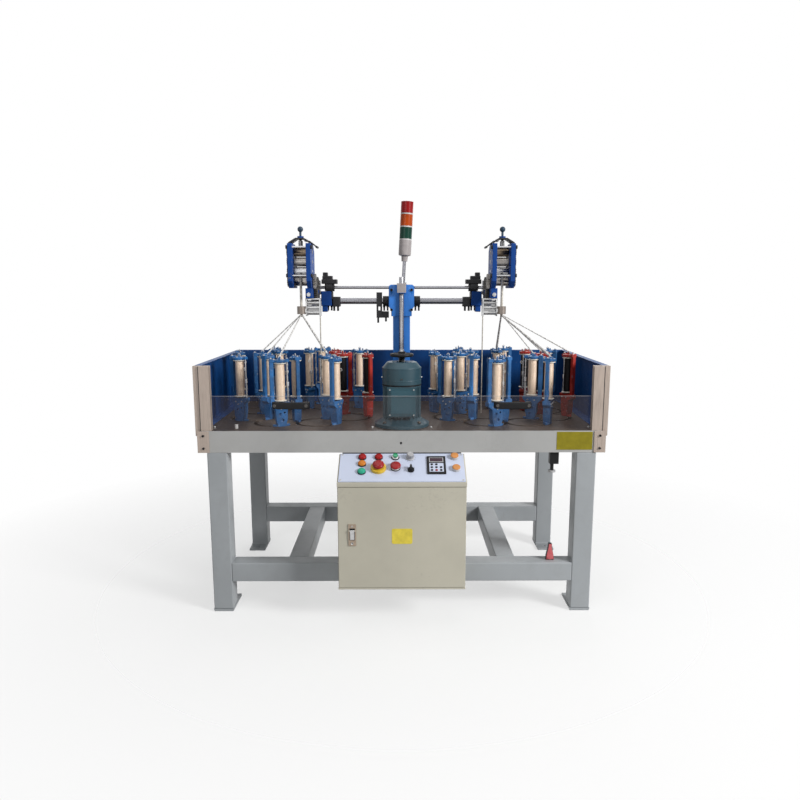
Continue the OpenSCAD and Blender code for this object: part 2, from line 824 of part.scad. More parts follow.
// Bracket under the inner cheek: it clamps the arm tube and carries the idler's stub axle
module takeup_brackets() {
    x0 = -unit_w / 2;
    color(royal_blue) at_units() {
        difference() {
            along_x(x0, x0 + bracket_t) polygon([
                [cheek_front + 24, bracket_z], [cheek_front + 24, cheek_z],
                [cheek_rear + 1, cheek_z], [cheek_rear + 1, cross_z + 24],
                [cross_y + 18, cross_z + 24], [column_y + arm_d / 2 + 9, cross_z - 6],
                [column_y + arm_d / 2 + 9, arm_z - arm_d / 2 - 12],
                [column_y - arm_d / 2 - 14, arm_z - arm_d / 2 - 12],
                [column_y - arm_d / 2 - 40, bracket_z]
            ]);
            rod_x(x0 - 1, x0 + bracket_t - 4, column_y, arm_z, arm_d + 2 * run);
            rod_x(x0 - 1, x0 + bracket_t + 1, cross_y, cross_z, cross_d + 2 * run);
        }
        rod_x(step_x - 2, x0, idler_y, idler_z, idler_axle_d);
    }
}

// Tie rods between the cheeks, and the bridge that the tension screw passes through
module takeup_fittings() {
    a = unit_w / 2;
    color(steel) at_units() for (p = tie_places)
        rod_x(-a + cheek_t, a - cheek_t, p[0], p[1], tie_d);
    color(black) at_units() difference() {
        translate([0, 0, cheek_top]) along_y(takeup_y - 35, takeup_y + 35) polygon([
            [-a, 0], [-a, bridge_t], [-a + 32, bridge_h], [a - 32, bridge_h], [a, bridge_t], [a, 0],
            [a - bridge_t, 0], [a - 34, bridge_h - bridge_t], [34 - a, bridge_h - bridge_t],
            [bridge_t - a, 0]
        ]);
        translate([0, takeup_y, cheek_top]) cylinder(d = screw_d + 2 * run, h = 2 * bridge_h);
    }
}

// Guide rollers in their frame under the bracket, with the forming ring at the braid point
module guide_frames() {
    color(aluminium) at_units() difference() {
        union() {
            for (x = [frame_in, frame_out - 6])
                block([x, takeup_y - guide_frame_d / 2, frame_z], [x + 6, takeup_y + guide_frame_d / 2, bracket_z]);
            block([frame_in, takeup_y - guide_frame_d / 2, bracket_z - 6],
                  [frame_out, takeup_y + guide_frame_d / 2, bracket_z]);
            for (z = guide_z) rod_x(frame_in + 3, frame_out - 3, takeup_y, z, guide_roller_d);
            block([frame_out - 6, braid_y - 8, ring_z + 8], [-ring_bore / 2 - 3, braid_y + 8, ring_z + 24]);
            translate([0, braid_y, ring_z]) cylinder(d = ring_d, h = 34);
        }
        translate([0, braid_y, ring_z - 1]) cylinder(d = ring_bore, h = 36);
    }
}

module tension_screw(side) {
    color(royal_blue) translate([side * head_x, takeup_y, cheek_top]) {
        translate([0, 0, -8]) cylinder(d = screw_d, h = bridge_h + 8 + rest_gap);
        translate([0, 0, bridge_h + rest_gap]) cylinder(d = 28, h = 8);
        translate([0, 0, bridge_h + rest_gap]) cylinder(d = 10, h = screw_top - cheek_top - bridge_h);
        translate([0, 0, screw_top - cheek_top]) sphere(d = ball_d);
    }
}

// Roller pair on one axis: one roller in each unit, with the gear that links it to the next
module roller_pair(k) {
    a = roller_w / 2;
    drives = k == 3;
    link_turn = k % 2 == 0 ? 0 : mate(0, link_teeth, link_teeth, 90);
    color(steel) for (s = [-1, 1]) translate([s * head_x, 0, 0]) {
        rod_x(-a, a, takeup_y, roller_z[k], roller_d);
        if (s > 0) rod_x(drives ? step_x : -unit_w / 2 - 1, link_x + fine_w, takeup_y, roller_z[k], roller_shaft_d);
        else rod_x(-link_x - fine_w, drives ? -step_x : unit_w / 2 + 1, takeup_y, roller_z[k], roller_shaft_d);
        translate([0, takeup_y, roller_z[k]]) {
            along_x(s > 0 ? link_x : -link_x - fine_w, s > 0 ? link_x + fine_w : -link_x)
                polygon(gear_outline(link_teeth, fine_module, link_turn));
            if (drives) along_x(s > 0 ? step_x : -step_x - step_w, s > 0 ? step_x + step_w : -step_x)
                polygon(gear_outline(step_teeth, fine_module, 0));
        }
    }
}

// Idler between the cross shaft and the lowest roller, one in each unit
module takeup_idlers() {
    turn = mate(0, step_teeth, idler_teeth, idler_dir);
    color(dark_steel) at_units() translate([0, idler_y, idler_z]) difference() {
        along_x(step_x, step_x + step_w) polygon(gear_outline(idler_teeth, fine_module, turn));
        rod_x(step_x - 1, step_x + step_w + 1, 0, 0, idler_axle_d + 2 * run);
        for (k = [0 : 4]) rotate([72 * k, 0, 0]) rod_x(step_x - 1, step_x + step_w + 1, idler_r * 0.56, 0, 22);
    }
}

module cross_shaft() {
    idler_turn = mate(0, step_teeth, idler_teeth, idler_dir);
    turn = mate(idler_turn, idler_teeth, step_teeth, cross_dir);
    end = head_x - unit_w / 2 + bracket_t;
    color(steel) {
        rod_x(-end, end, cross_y, cross_z, cross_d);
        at_units() translate([0, cross_y, cross_z]) along_x(step_x, step_x + step_w)
            polygon(gear_outline(step_teeth, fine_module, turn));
    }
}

module takeup_shaft() {
    color(steel) translate([0, shaft_y, 0]) {
        translate([0, 0, bed_z]) cylinder(d = shaft_d, h = shaft_top - bed_z);
        translate([0, 0, gear_z]) linear_extrude(gear_w)
            polygon(gear_outline(takeup_teeth, gear_module, mate(0, drive_teeth, takeup_teeth, 90)));
        translate([0, 0, bed_top + rest_gap]) cylinder(d = 2 * hub_r, h = gear_z - bed_top);
    }
}

module drive_gear() {
    color(dark_steel) translate([0, drive_y, 0]) difference() {
        union() {
            translate([0, 0, gear_z]) linear_extrude(gear_w)
                polygon(gear_outline(drive_teeth, gear_module, 0));
            translate([0, 0, bed_top + rest_gap])
                cylinder(d = drive_axle_d + 24, h = plate_z - bed_top - 2 * rest_gap);
        }
        translate([0, 0, bed_top]) cylinder(d = drive_axle_d + 2 * run, h = plate_z);
        for (k = [0 : 5]) rotate([0, 0, 60 * k]) translate([drive_r * 0.58, 0, gear_z - 1])
            cylinder(d = 58, h = gear_w + 2);
    }
}

// Horn gear: the toothed wheel and, above it, the plate whose notches drive the carriers
module horn_gear(turn) {
    difference() {
        union() {
            translate([0, 0, gear_z]) linear_extrude(gear_w)
                polygon(gear_outline(horn_teeth, gear_module, turn));
            translate([0, 0, bed_top + rest_gap]) cylinder(r = hub_r, h = horn_z + horn_t - bed_top - rest_gap);
            translate([0, 0, horn_z]) cylinder(r = horn_r - 1, h = horn_t, $fn = 96);
        }
        translate([0, 0, bed_top]) cylinder(d = axle_d + 2 * run, h = plate_z - bed_top);
        for (k = [0 : 3]) rotate([0, 0, 90 * k]) {
            rotate([0, 0, 45]) translate([horn_r, 0, horn_z - 1])
                cylinder(d = stem_d + 2 * rest_gap, h = horn_t + 2);
            translate([horn_r * 0.6, 0, gear_z - 1]) cylinder(d = lighten_d, h = horn_z + horn_t - gear_z + 2);
        }
    }
}

// Boat-shaped shoe that rides on the track
module shoe_outline() {
    r = (shoe_l * shoe_l + shoe_w * shoe_w) / (4 * shoe_w);
    intersection() {
        translate([0, r - shoe_w / 2]) circle(r = r, $fn = 96);
        translate([0, shoe_w / 2 - r]) circle(r = r, $fn = 96);
    }
}

// Carrier casting with its stem, post, crown, spindle and guide rod
module carrier() {
    foot_z = horn_z - deck_z - rest_gap;
    low = rest_gap;
    post_l = post_x - post_w / 2;
    translate([0, 0, foot_z - foot_h]) cylinder(d = foot_d, h = foot_h);
    translate([0, 0, foot_z - foot_h]) cylinder(d = stem_d, h = foot_h - foot_z + shoe_h);
    translate([0, 0, low]) linear_extrude(shoe_h) shoe_outline();
    difference() {
        along_y(-casting_t / 2, casting_t / 2) polygon([
            [-16, low], [16, low], [24, 32], [25, casting_h - 24], [guide_rod_x + 6, casting_h - 10],
            [guide_rod_x + 6, casting_h], [post_l, casting_h], [post_l, casting_h - 16],
            [-25, casting_h - 30], [-24, 32]
        ]);
        for (p = [[2, 26, 15], [-6, 52, 11], [12, 58, 8]])
            translate([p[0], casting_t, p[1]]) rotate([90, 0, 0]) cylinder(d = p[2], h = 2 * casting_t);
    }
    cylinder(d = spindle_d + 12, h = casting_h + boss_h);
    cylinder(d = spindle_d, h = crown_z + 2);
    block([post_l, -post_t / 2, casting_h - 8], [post_l + post_w, post_t / 2, crown_z + crown_h]);
    translate([guide_rod_x, 0, casting_h - 2]) cylinder(d = guide_rod_d, h = crown_z - casting_h + 4);
    translate([0, 0, crown_z]) cylinder(d = flange_d, h = crown_h);
    block([post_l, -11, crown_z], [guide_rod_x + 5, 11, crown_z + crown_h]);
    translate([0, 0, crown_z]) cylinder(d = 7, h = crown_h + pin_h);
    for (y = [-15, 15]) translate([-9, y, crown_z]) cylinder(d = 5, h = crown_h + pin_h - 2);
}

module bobbin() {
    r = flange_d / 2;
    rotate_extrude() polygon([
        [spindle_d / 2 + rest_gap, 0], [r, 0], [r, bobbin_flange_t], [barrel_d / 2, bobbin_flange_t],
        [barrel_d / 2, bobbin_l - bobbin_flange_t], [r, bobbin_l - bobbin_flange_t], [r, bobbin_l],
        [spindle_d / 2 + rest_gap, bobbin_l]
    ]);
}

module yarn_package() {
    h = bobbin_l - 2 * bobbin_flange_t - 2 * pack_gap;
    translate([0, 0, bobbin_flange_t + pack_gap]) difference() {
        cylinder(d = yarn_pack_d, h = h);
        translate([0, 0, -1]) cylinder(d = barrel_d + 2 * pack_gap, h = h + 2);
    }
}

// Horn gear of one head with the two carriers that it holds at this moment
module rotor(side, i) {
    translate(concat(horn_place(side, i), 0)) rotate([0, 0, horn_angle(i)]) {
        color(dark_steel) horn_gear(horn_turn(side, i));
        for (k = [0, 1]) rotate([0, 0, carrier_angles[k]]) translate([horn_r, 0, deck_z]) rotate([0, 0, 90]) {
            color(is_red(i, k) ? signal_red : royal_blue) carrier();
            translate([0, 0, bobbin_z]) {
                color("white") bobbin();
                color(is_red(i, k) ? black : cream) yarn_package();
            }
        }
    }
}

// Yarns from the threaded carriers to the braid point, held in a ring round the braid
module yarns() {
    color(cream) for (s = [-1, 1], c = threaded[(s + 1) / 2])
        strand(concat(carrier_place(s, c[0], c[1]), yarn_start + rest_gap + yarn_d / 2),
               [s * head_x + bundle_r * cos(c[2]), head_y + bundle_r * sin(c[2]), ring_z - 6], yarn_d);
}

// Braid from the forming ring to the rollers, and the core cord beside it
module braid_cords() {
    color(cream) both_sides() {
        strand([head_x, braid_y, braid_low], [head_x, braid_y, braid_high], braid_d);
        strand([head_x - core_x, takeup_y, deck_z], [head_x - core_x, takeup_y, frame_z], core_d);
    }
}

module leaning_lamp() {
    translate([pole_x, column_y, head_z + head_h]) rotate([0, lamp_lean, 0]) children();
}

module signal_pole() {
    color("lightgray") difference() {
        leaning_lamp() {
            translate([0, 0, -10]) cylinder(d = pole_d, h = pole_l + 12);
            translate([0, 0, -2]) cylinder(d = pole_d + 16, h = 12);
            translate([0, 0, pole_l]) cylinder(d1 = pole_d + 6, d2 = lamp_d, h = lamp_neck_h);
            translate([0, 0, pole_l + lamp_neck_h]) cylinder(d = lamp_d, h = lamp_base_h - lamp_neck_h);
        }
        block([-head_w, column_y - head_d, head_z], [head_w, column_y + head_d, head_z + head_h]);
    }
}

module signal_lenses() {
    for (k = [0 : 2])
        color([[0.1, 0.5, 0.25], [0.95, 0.5, 0.1], [0.85, 0.1, 0.1]][k])
            leaning_lamp() translate([0, 0, pole_l + lamp_base_h + k * (lens_h + lens_gap)]) {
                cylinder(d = lamp_d - 2, h = lens_gap);
                translate([0, 0, lens_gap]) cylinder(d = lamp_d, h = lens_h - seat_gap);
            }
}

// Cabinet: one folded shell with a lip over the door, a sill under it and a sloping top
module cabinet_shell() {
    a = cabinet_w / 2;
    w = cabinet_wall;
    face_y = lip_y + lip_d;
    slope = (console_top - console_z) / console_out;
    drop = w / cos(console_slope);
    color(cabinet_beige) {
        difference() {
            along_x(-a, a) polygon([
                [cabinet_back, cabinet_z], [lip_y, cabinet_z], [lip_y, cabinet_z + sill_h],
                [face_y, cabinet_z + sill_h], [face_y, console_z - lip_h], [lip_y, console_z - lip_h],
                [lip_y, console_z], [cabinet_back, console_top]
            ]);
            along_x(w - a, a - w) polygon([
                [cabinet_back - w, cabinet_z + w], [face_y + w, cabinet_z + w],
                [face_y + w, console_z + slope * (lip_d + w) - drop],
                [cabinet_back - w, console_top - slope * w - drop]
            ]);
            block([12 - a, lip_y - 1, door_z[0] + 6], [a - 12, face_y + w + 1, door_z[1] - 8]);
            on_console([0, 0]) block([22 - a, 16, -12], [a - 22, console_l - 12, 1]);
        }
        for (z = [[cabinet_z + sill_h, hinge_block], [console_z - lip_h - hinge_block, hinge_block]])
            translate([hinge_x, hinge_y, z[0]]) cylinder(d = hinge_pin_d, h = z[1]);
    }
}

// Pan-shaped door that swings on a pin at its top and bottom right corners
module cabinet_door() {
    a = door_w / 2;
    w = cabinet_wall;
    inner_y = lip_y + door_t;
    color(cabinet_beige) difference() {
        union() {
            difference() {
                block([-a, lip_y, door_z[0]], [a, inner_y, door_z[1]]);
                block([w - a, lip_y + w, door_z[0] + w], [a - w, inner_y + 1, door_z[1] - w]);
            }
            for (z = [door_z[0], door_z[1] - 2 * hinge_block])
                block([a - hinge_block, lip_y, z], [a, inner_y, z + 2 * hinge_block]);
        }
        for (z = [door_z[0] - 1, door_z[1] - hinge_block])
            translate([hinge_x, hinge_y, z]) cylinder(d = hinge_pin_d + 2 * run, h = hinge_block + 1);
    }
    color(dark_steel) {
        block([latch_x - latch_w / 2, lip_y - latch_t, latch_z - latch_h / 2],
              [latch_x + latch_w / 2, lip_y - seat_gap, latch_z + latch_h / 2]);
        for (s = [-1, 1]) translate([latch_x + s * (paddle_w / 2 + 2.5), 0, 0])
            block([-1.8, paddle_y - 3, paddle_z - 3], [1.8, lip_y - latch_t, paddle_z + 3]);
        rod_x(latch_x - paddle_w / 2 - 2, latch_x + paddle_w / 2 + 2, paddle_y, paddle_z, paddle_pin_d);
    }
}

// Paddle that is pulled out to open the door
module door_latch() {
    color(steel) difference() {
        union() {
            rod_x(latch_x - paddle_w / 2, latch_x + paddle_w / 2, paddle_y, paddle_z, 6);
            block([latch_x - paddle_w / 2, paddle_y - paddle_t / 2, paddle_z - paddle_l],
                  [latch_x + paddle_w / 2, paddle_y + paddle_t / 2, paddle_z]);
        }
        rod_x(latch_x - paddle_w, latch_x + paddle_w, paddle_y, paddle_z, paddle_pin_d + 2 * run);
    }
}

// Fascia with the device holes, the yellow base, the white collar and the keypad
module console_fascia() {
    devices = concat(lamp_places, [estop_place, stop_place, start_place, knob_place, selector_place]);
    color("whitesmoke") difference() {
        on_console([0, 0]) block([5 - cabinet_w / 2, 3, 0], [cabinet_w / 2 - 5, console_l - 3, fascia_t]);
        for (p = devices) on_console(p) translate([0, 0, -1])
            cylinder(d = button_stem_d + 2 * run, h = fascia_t + 2);
    }
    color("gold") on_console(estop_place) translate([0, 0, fascia_t + seat_gap]) difference() {
        cylinder(d = estop_base_d, h = estop_base_h);
        translate([0, 0, -1]) cylinder(d = button_stem_d + 2 * run, h = estop_base_h + 2);
    }
    for (p = [stop_place, start_place])
        color("white") on_console(p) translate([0, 0, fascia_t + seat_gap]) difference() {
            cylinder(d = p == stop_place ? collar_d : button_stem_d + 12, h = collar_h);
            translate([0, 0, -1]) cylinder(d = button_stem_d + 2 * run, h = collar_h + 2);
        }
    color(black) on_console(keypad_place) translate([0, 0, fascia_t + seat_gap])
        block([-keypad_size[0] / 2, -keypad_size[1] / 2, 0], [keypad_size[0] / 2, keypad_size[1] / 2, 5]);
}

module pilot_lamps() {
    for (p = lamp_places) color("orange") on_console(p) {
        translate([0, 0, -10]) cylinder(d = button_stem_d, h = fascia_t + 12);
        translate([0, 0, fascia_t]) cylinder(d = lamp_collar_d, h = 4);
        translate([0, 0, fascia_t + 4]) cylinder(d1 = lamp_collar_d - 5, d2 = lamp_collar_d - 9, h = 9);
    }
}

// A push button: a stem through the fascia and a cap that stands clear by its travel
module push(place, rest, cap_d, cap_h, travel) {
    on_console(place) {
        translate([0, 0, -14]) cylinder(d = button_stem_d, h = 14 + rest + travel + rest_gap + 1);
        translate([0, 0, rest + travel + rest_gap]) cylinder(d1 = cap_d, d2 = cap_d - 3, h = cap_h);
    }
}

module emergency_stop() {
    color("red") push(estop_place, fascia_t + estop_base_h, 40, 14, estop_press);
}

module stop_button() {
    color("red") push(stop_place, fascia_t + collar_h, 36, 9, press);
}

module start_button() {
    color("green") push(start_place, fascia_t + collar_h, 20, 4, press);
}

module speed_knob() {
    color("gray") on_console(knob_place) {
        translate([0, 0, -14]) cylinder(d = button_stem_d, h = 16 + fascia_t);
        translate([0, 0, fascia_t + rest_gap]) cylinder(d = 34, h = 4);
        translate([0, 0, fascia_t + rest_gap]) cylinder(d1 = 28, d2 = 24, h = 22);
        block([-1.5, 8, fascia_t + 22], [1.5, 12.5, fascia_t + 24]);
    }
}

module selector_switch() {
    color(black) on_console(selector_place) {
        translate([0, 0, -14]) cylinder(d = button_stem_d, h = 16 + fascia_t);
        translate([0, 0, fascia_t + rest_gap]) cylinder(d = 26, h = 8);
        block([-4, -12, fascia_t + 6], [4, 16, fascia_t + 20]);
    }
}

// Yarn stop switch under the table, and the sensor on the lower rail
module stop_switch() {
    y = flange_w / 2 - stand_d / 2;
    color(black) {
        translate([switch_x - switch_size[0] / 2, y - switch_size[1] / 2, leg_h - switch_size[2]])
            cube(switch_size);
        translate([switch_x - 6, y, leg_h - switch_size[2] - 28]) cylinder(d = 14, h = 28);
        translate([switch_x - 6, y, leg_h - switch_size[2] - 36]) cylinder(d = 30, h = 8);
        translate([switch_x, -leg_y, rail_z + tube]) {
            along_y(-9, 9) polygon([[-17, 0], [17, 0], [15, 20], [7, 56], [7, 70], [-7, 70], [-7, 56], [-15, 20]]);
            translate([0, -8, 17]) rotate([90, 0, 0]) cylinder(d = 26, h = 7);
        }
    }
}

stand_frame();
table_beams();
gear_bed();
track_plate();
guard_panels();
guard_posts();
motor_frame();
fan_cowl();
column();
column_head();
arm_tubes();
arm_clamps();
takeup_cheeks();
takeup_brackets();
takeup_fittings();
guide_frames();
signal_pole();
signal_lenses();
cabinet_shell();
console_fascia();
pilot_lamps();
yarns();
braid_cords();
stop_switch();
drive_gear();
motor_shaft();
takeup_shaft();
cross_shaft();
takeup_idlers();
for (k = [0 : 3])
    roller_pair(k);
tension_screw(-1);  // tension_screw_left
tension_screw(1);  // tension_screw_right
front_shield();
shield_handles();
cabinet_door();
door_latch();
emergency_stop();
stop_button();
start_button();
speed_knob();
selector_switch();
for (i = [0 : gears - 1]) {
    rotor(-1, i);
    rotor(1, i);
}
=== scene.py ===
import bpy
import bmesh
import json
import math
from mathutils import Matrix, Vector


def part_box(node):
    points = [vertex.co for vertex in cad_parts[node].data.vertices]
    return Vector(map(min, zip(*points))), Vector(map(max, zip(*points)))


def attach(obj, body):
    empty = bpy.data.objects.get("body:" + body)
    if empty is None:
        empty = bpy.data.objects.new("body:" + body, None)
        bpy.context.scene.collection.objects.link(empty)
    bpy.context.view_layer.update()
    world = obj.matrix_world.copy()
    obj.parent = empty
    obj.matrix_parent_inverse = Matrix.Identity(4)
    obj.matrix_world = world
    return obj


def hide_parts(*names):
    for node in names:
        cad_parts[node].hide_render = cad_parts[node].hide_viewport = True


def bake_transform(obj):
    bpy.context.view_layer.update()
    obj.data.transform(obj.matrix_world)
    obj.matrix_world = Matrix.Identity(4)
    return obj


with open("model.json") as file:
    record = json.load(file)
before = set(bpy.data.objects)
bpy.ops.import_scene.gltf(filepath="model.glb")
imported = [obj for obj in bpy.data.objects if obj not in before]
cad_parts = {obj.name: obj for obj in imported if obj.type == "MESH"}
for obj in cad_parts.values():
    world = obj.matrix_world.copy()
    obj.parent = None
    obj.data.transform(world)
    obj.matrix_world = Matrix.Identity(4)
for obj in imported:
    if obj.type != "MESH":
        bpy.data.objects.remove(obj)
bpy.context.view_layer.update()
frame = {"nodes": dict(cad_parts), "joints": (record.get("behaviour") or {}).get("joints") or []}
nodes = frame["nodes"]
joints = {j["name"]: j for j in frame["joints"]}
print("frame loaded:", len(nodes), "nodes")


def addToScene(obj):
    bpy.context.scene.collection.objects.link(obj)


# Camera, solved from the photograph
cameraSet = {
    "place": (-0.0059, -3.2185, 1.3164),    # metres
    "angles": (79.99, 0.0, -0.355),         # degrees: up from straight down, roll, turn
    "focal": 713.8,                         # focal length, centre and frame in pixels
    "centre": (404.72, 416.16),
    "frameSize": 800,
    "sensor": 36,
    "farClip": 60,
}


def makeCamera(s):
    data = bpy.data.cameras.new("viewCamera")
    data.sensor_width = s["sensor"]
    data.lens = s["sensor"] * s["focal"] / s["frameSize"]
    half = s["frameSize"] / 2
    data.shift_x = (half - s["centre"][0]) / s["frameSize"]
    data.shift_y = (s["centre"][1] - half) / s["frameSize"]
    data.clip_end = s["farClip"]
    camera = bpy.data.objects.new("viewCamera", data)
    camera.location = s["place"]
    camera.rotation_euler = [math.radians(angle) for angle in s["angles"]]
    addToScene(camera)
    bpy.context.scene.camera = camera


makeCamera(cameraSet)
bpy.context.scene.view_settings.view_transform = "Standard"


# A socket that takes part in Python expressions
class Val:
    def __init__(self, graph, socket):
        self.graph = graph
        self.socket = socket

    def math(self, operation, other=0.0):
        return self.graph.node("Math", {"operation": operation}, {0: self, 1: other})

    def __add__(self, other):
        return self.math("ADD", other)

    def __mul__(self, other):
        return self.math("MULTIPLY", other)

    def __or__(self, other):
        return self.math("MAXIMUM", other)

    def wave(self):
        return self.math("SINE")


# A node tree: every node is made by one method
class Graph:
    def __init__(self, owner):
        owner.use_nodes = True
        self.tree = owner.node_tree

    def find(self, kind):
        return next(n for n in self.tree.nodes if n.type == kind)

    def node(self, kind, settings=None, inputs=None, output=0):
        made = self.tree.nodes.new("ShaderNode" + kind)
        for key, value in (settings or {}).items():
            setattr(made, key, value)
        for key, value in (inputs or {}).items():
            self.join(made.inputs[key], value)
        return Val(self, made.outputs[output])

    def join(self, socket, value):
        if isinstance(value, Val):
            self.tree.links.new(value.socket, socket)
        elif socket.type == "RGBA" and len(value) == 3:
            socket.default_value = (*value, 1)
        else:
            socket.default_value = value


def scaled(colour, factor):
    return tuple(min(1.0, c * factor) for c in colour)


# One material on its principled shader
class Shade(Graph):
    def __init__(self, name):
        self.material = bpy.data.materials.new(name)
        super().__init__(self.material)
        self.bsdf = self.find("BSDF_PRINCIPLED")

    def noise(self, scale, detail=3.0, rough=0.55, stretch=(1, 1, 1)):
        coords = self.node("TexCoord", output="Object")
        place = self.node("Mapping", None, {"Vector": coords, "Scale": stretch})
        return self.node("TexNoise", None, {
            "Vector": place, "Scale": scale, "Detail": detail, "Roughness": rough})

    def spread(self, value, low, high, toLow=0.0, toHigh=1.0):
        return self.node("MapRange", {"clamp": True}, {
            "Value": value, "From Min": low, "From Max": high, "To Min": toLow, "To Max": toHigh})

    def ramp(self, value, stops):
        made = self.node("ValToRGB", None, {"Fac": value})
        elements = made.socket.node.color_ramp.elements
        while len(elements) < len(stops):
            elements.new(0.5)
        for element, (position, colour) in zip(elements, stops):
            element.position = position
            element.color = (*colour, 1)
        return made

    # One colour from a darker to a lighter share of it
    def tones(self, value, colour, dark, light):
        return self.ramp(value, [(0.3, scaled(colour, dark)), (0.7, scaled(colour, light))])

    # Lays a colour over a tone where a mask rises from low to high
    def cover(self, tone, mask, low, high, share, colour):
        amount = self.spread(mask, low, high, 0.0, share)
        return self.node("Mix", {"data_type": "RGBA"}, {0: amount, 6: tone, 7: colour}, 2)

    def bump(self, height, strength, distance):
        return self.node("Bump", None, {"Height": height, "Strength": strength, "Distance": distance})

    def done(self, **inputs):
        for key, value in inputs.items():
            self.join(self.bsdf.inputs[key.replace("_", " ")], value)
        return self.material


# Brushed or sprayed paint with clouds of grime and small chips
def enamel(name, colour, rough=0.38, grime=0.25, chips=0.0, peel=0.06, dirt=(0.10, 0.085, 0.07), coat=0.08,
           specular=0.32):
    s = Shade(name)
    cloud = s.noise(9.0, 6.0, 0.65)
    tone = s.tones(s.noise(2.2, 4.0, 0.6), colour, 0.88, 1.10)
    tone = s.cover(tone, cloud, 0.5, 0.78, grime, dirt)
    if chips:
        flake = s.noise(70.0, 3.0, 0.7) * s.noise(6.0, 2.0, 0.5)
        tone = s.cover(tone, flake, 0.36, 0.42, chips, (0.20, 0.18, 0.17))
    return s.done(
        Base_Color=tone, Roughness=s.spread(cloud, 0.3, 0.75, rough * 0.8, rough * 1.5),
        Normal=s.bump(s.noise(420.0, 2.0), peel, 0.0006), Coat_Weight=coat, Coat_Roughness=0.2,
        Specular_IOR_Level=specular)


# Painted sand casting, worn to metal and oily in places, with light patches that are painted highlights of
# the glossy paint as well as worn spots
def casting(name, colour, rough=0.42):
    s = Shade(name)
    sand = s.noise(190.0, 4.0, 0.7)
    tone = s.ramp(s.noise(14.0, 4.0, 0.6), [
        (0.28, scaled(colour, 0.62)), (0.52, colour), (0.74, scaled(colour, 1.55))])
    # Light grey-blue patches: painted highlights of glossy paint, also standing for spots worn to metal
    tone = s.cover(tone, s.noise(46.0, 5.0, 0.7), 0.60, 0.70, 0.5, (0.26, 0.31, 0.38))
    tone = s.cover(tone, s.noise(24.0, 5.0, 0.6), 0.56, 0.72, 0.45, (0.03, 0.035, 0.05))
    return s.done(
        Base_Color=tone, Roughness=s.spread(sand, 0.3, 0.7, rough * 0.75, rough * 1.35),
        Normal=s.bump(sand, 0.25, 0.0012), Coat_Weight=0.05, Coat_Roughness=0.25, Specular_IOR_Level=0.3)


# Machined metal with tool lines and stains
def turned(name, colour=(0.46, 0.46, 0.47), rough=0.28, stretch=(1, 1, 1), stain=0.25, metallic=1.0):
    s = Shade(name)
    lines = s.noise(90.0, 4.0, 0.7, stretch)
    tone = s.tones(lines, colour, 0.82, 1.12)
    tone = s.cover(tone, s.noise(24.0, 5.0, 0.6), 0.55, 0.75, stain, (0.16, 0.13, 0.10))
    return s.done(
        Base_Color=tone, Metallic=metallic, Roughness=s.spread(lines, 0.3, 0.7, rough * 0.7, rough * 1.5),
        Normal=s.bump(lines, 0.12, 0.0005))


# Dark table steel with pools of oil, streaks and bare specks
def oiled(name):
    s = Shade(name)
    pool = s.noise(3.6, 6.0, 0.62)
    speck = s.noise(140.0, 3.0, 0.6)
    streak = s.noise(30.0, 5.0, 0.7, (1.0, 0.25, 1.0))
    tone = s.ramp(pool, [
        (0.32, (0.018, 0.011, 0.007)), (0.50, (0.046, 0.031, 0.022)), (0.68, (0.100, 0.076, 0.061))])
    tone = s.cover(tone, streak, 0.5, 0.75, 0.5, (0.105, 0.070, 0.048))
    tone = s.cover(tone, speck, 0.66, 0.74, 0.5, (0.36, 0.33, 0.30))
    return s.done(
        Base_Color=tone, Metallic=0.1, Roughness=s.spread(pool, 0.3, 0.7, 0.34, 0.60),
        Normal=s.bump(speck, 0.10, 0.0006), Specular_IOR_Level=0.2)


# Plastic with a fine grain
def moulded(name, colour, rough=0.42, coat=0.0, peel=0.08, specular=0.4):
    s = Shade(name)
    cloud = s.noise(40.0, 4.0, 0.6)
    return s.done(
        Base_Color=s.tones(cloud, colour, 0.85, 1.12),
        Roughness=s.spread(cloud, 0.3, 0.7, rough * 0.85, rough * 1.2),
        Normal=s.bump(s.noise(900.0, 2.0), peel, 0.0003), Coat_Weight=coat, Coat_Roughness=0.1,
        Specular_IOR_Level=specular)


# Coloured plastic with a faint glow
def lens(name, colour, glow=0.03):
    s = Shade(name)
    return s.done(
        Base_Color=s.tones(s.noise(30.0), colour, 0.86, 1.15), Roughness=0.24, Coat_Weight=0.05,
        Coat_Roughness=0.08, Specular_IOR_Level=0.14, Emission_Color=colour, Emission_Strength=glow)


# Yarn wound side by side: the turns lie one above the other, a pitch apart in metres
def wound(name, colour, dark, pitch=0.0013, gloss=0.45):
    s = Shade(name)
    height = s.node("SeparateXYZ", None, {0: s.node("TexCoord", output="Object")}, 2)
    drift = s.noise(60.0, 3.0, 0.6)
    strand = (height * (2 * math.pi / pitch) + drift * 9.0).wave() * 0.5 + 0.5
    tone = s.ramp(strand * 0.55 + drift * 0.45, [(0.22, dark), (0.5, colour), (0.8, scaled(colour, 1.14))])
    return s.done(
        Base_Color=tone, Roughness=0.30, Coat_Weight=gloss, Coat_Roughness=0.17, Specular_IOR_Level=gloss,
        Normal=s.bump(strand, 0.5, 0.0004))


# A twisted or plaited strand
def plied(name, colour, dark, fineness):
    s = Shade(name)
    lay = s.noise(fineness, 2.0, 0.5, (1, 1, 0.35))
    tone = s.ramp(lay, [(0.35, dark), (0.62, colour)])
    return s.done(Base_Color=tone, Roughness=0.7, Normal=s.bump(lay, 0.5, 0.0006))


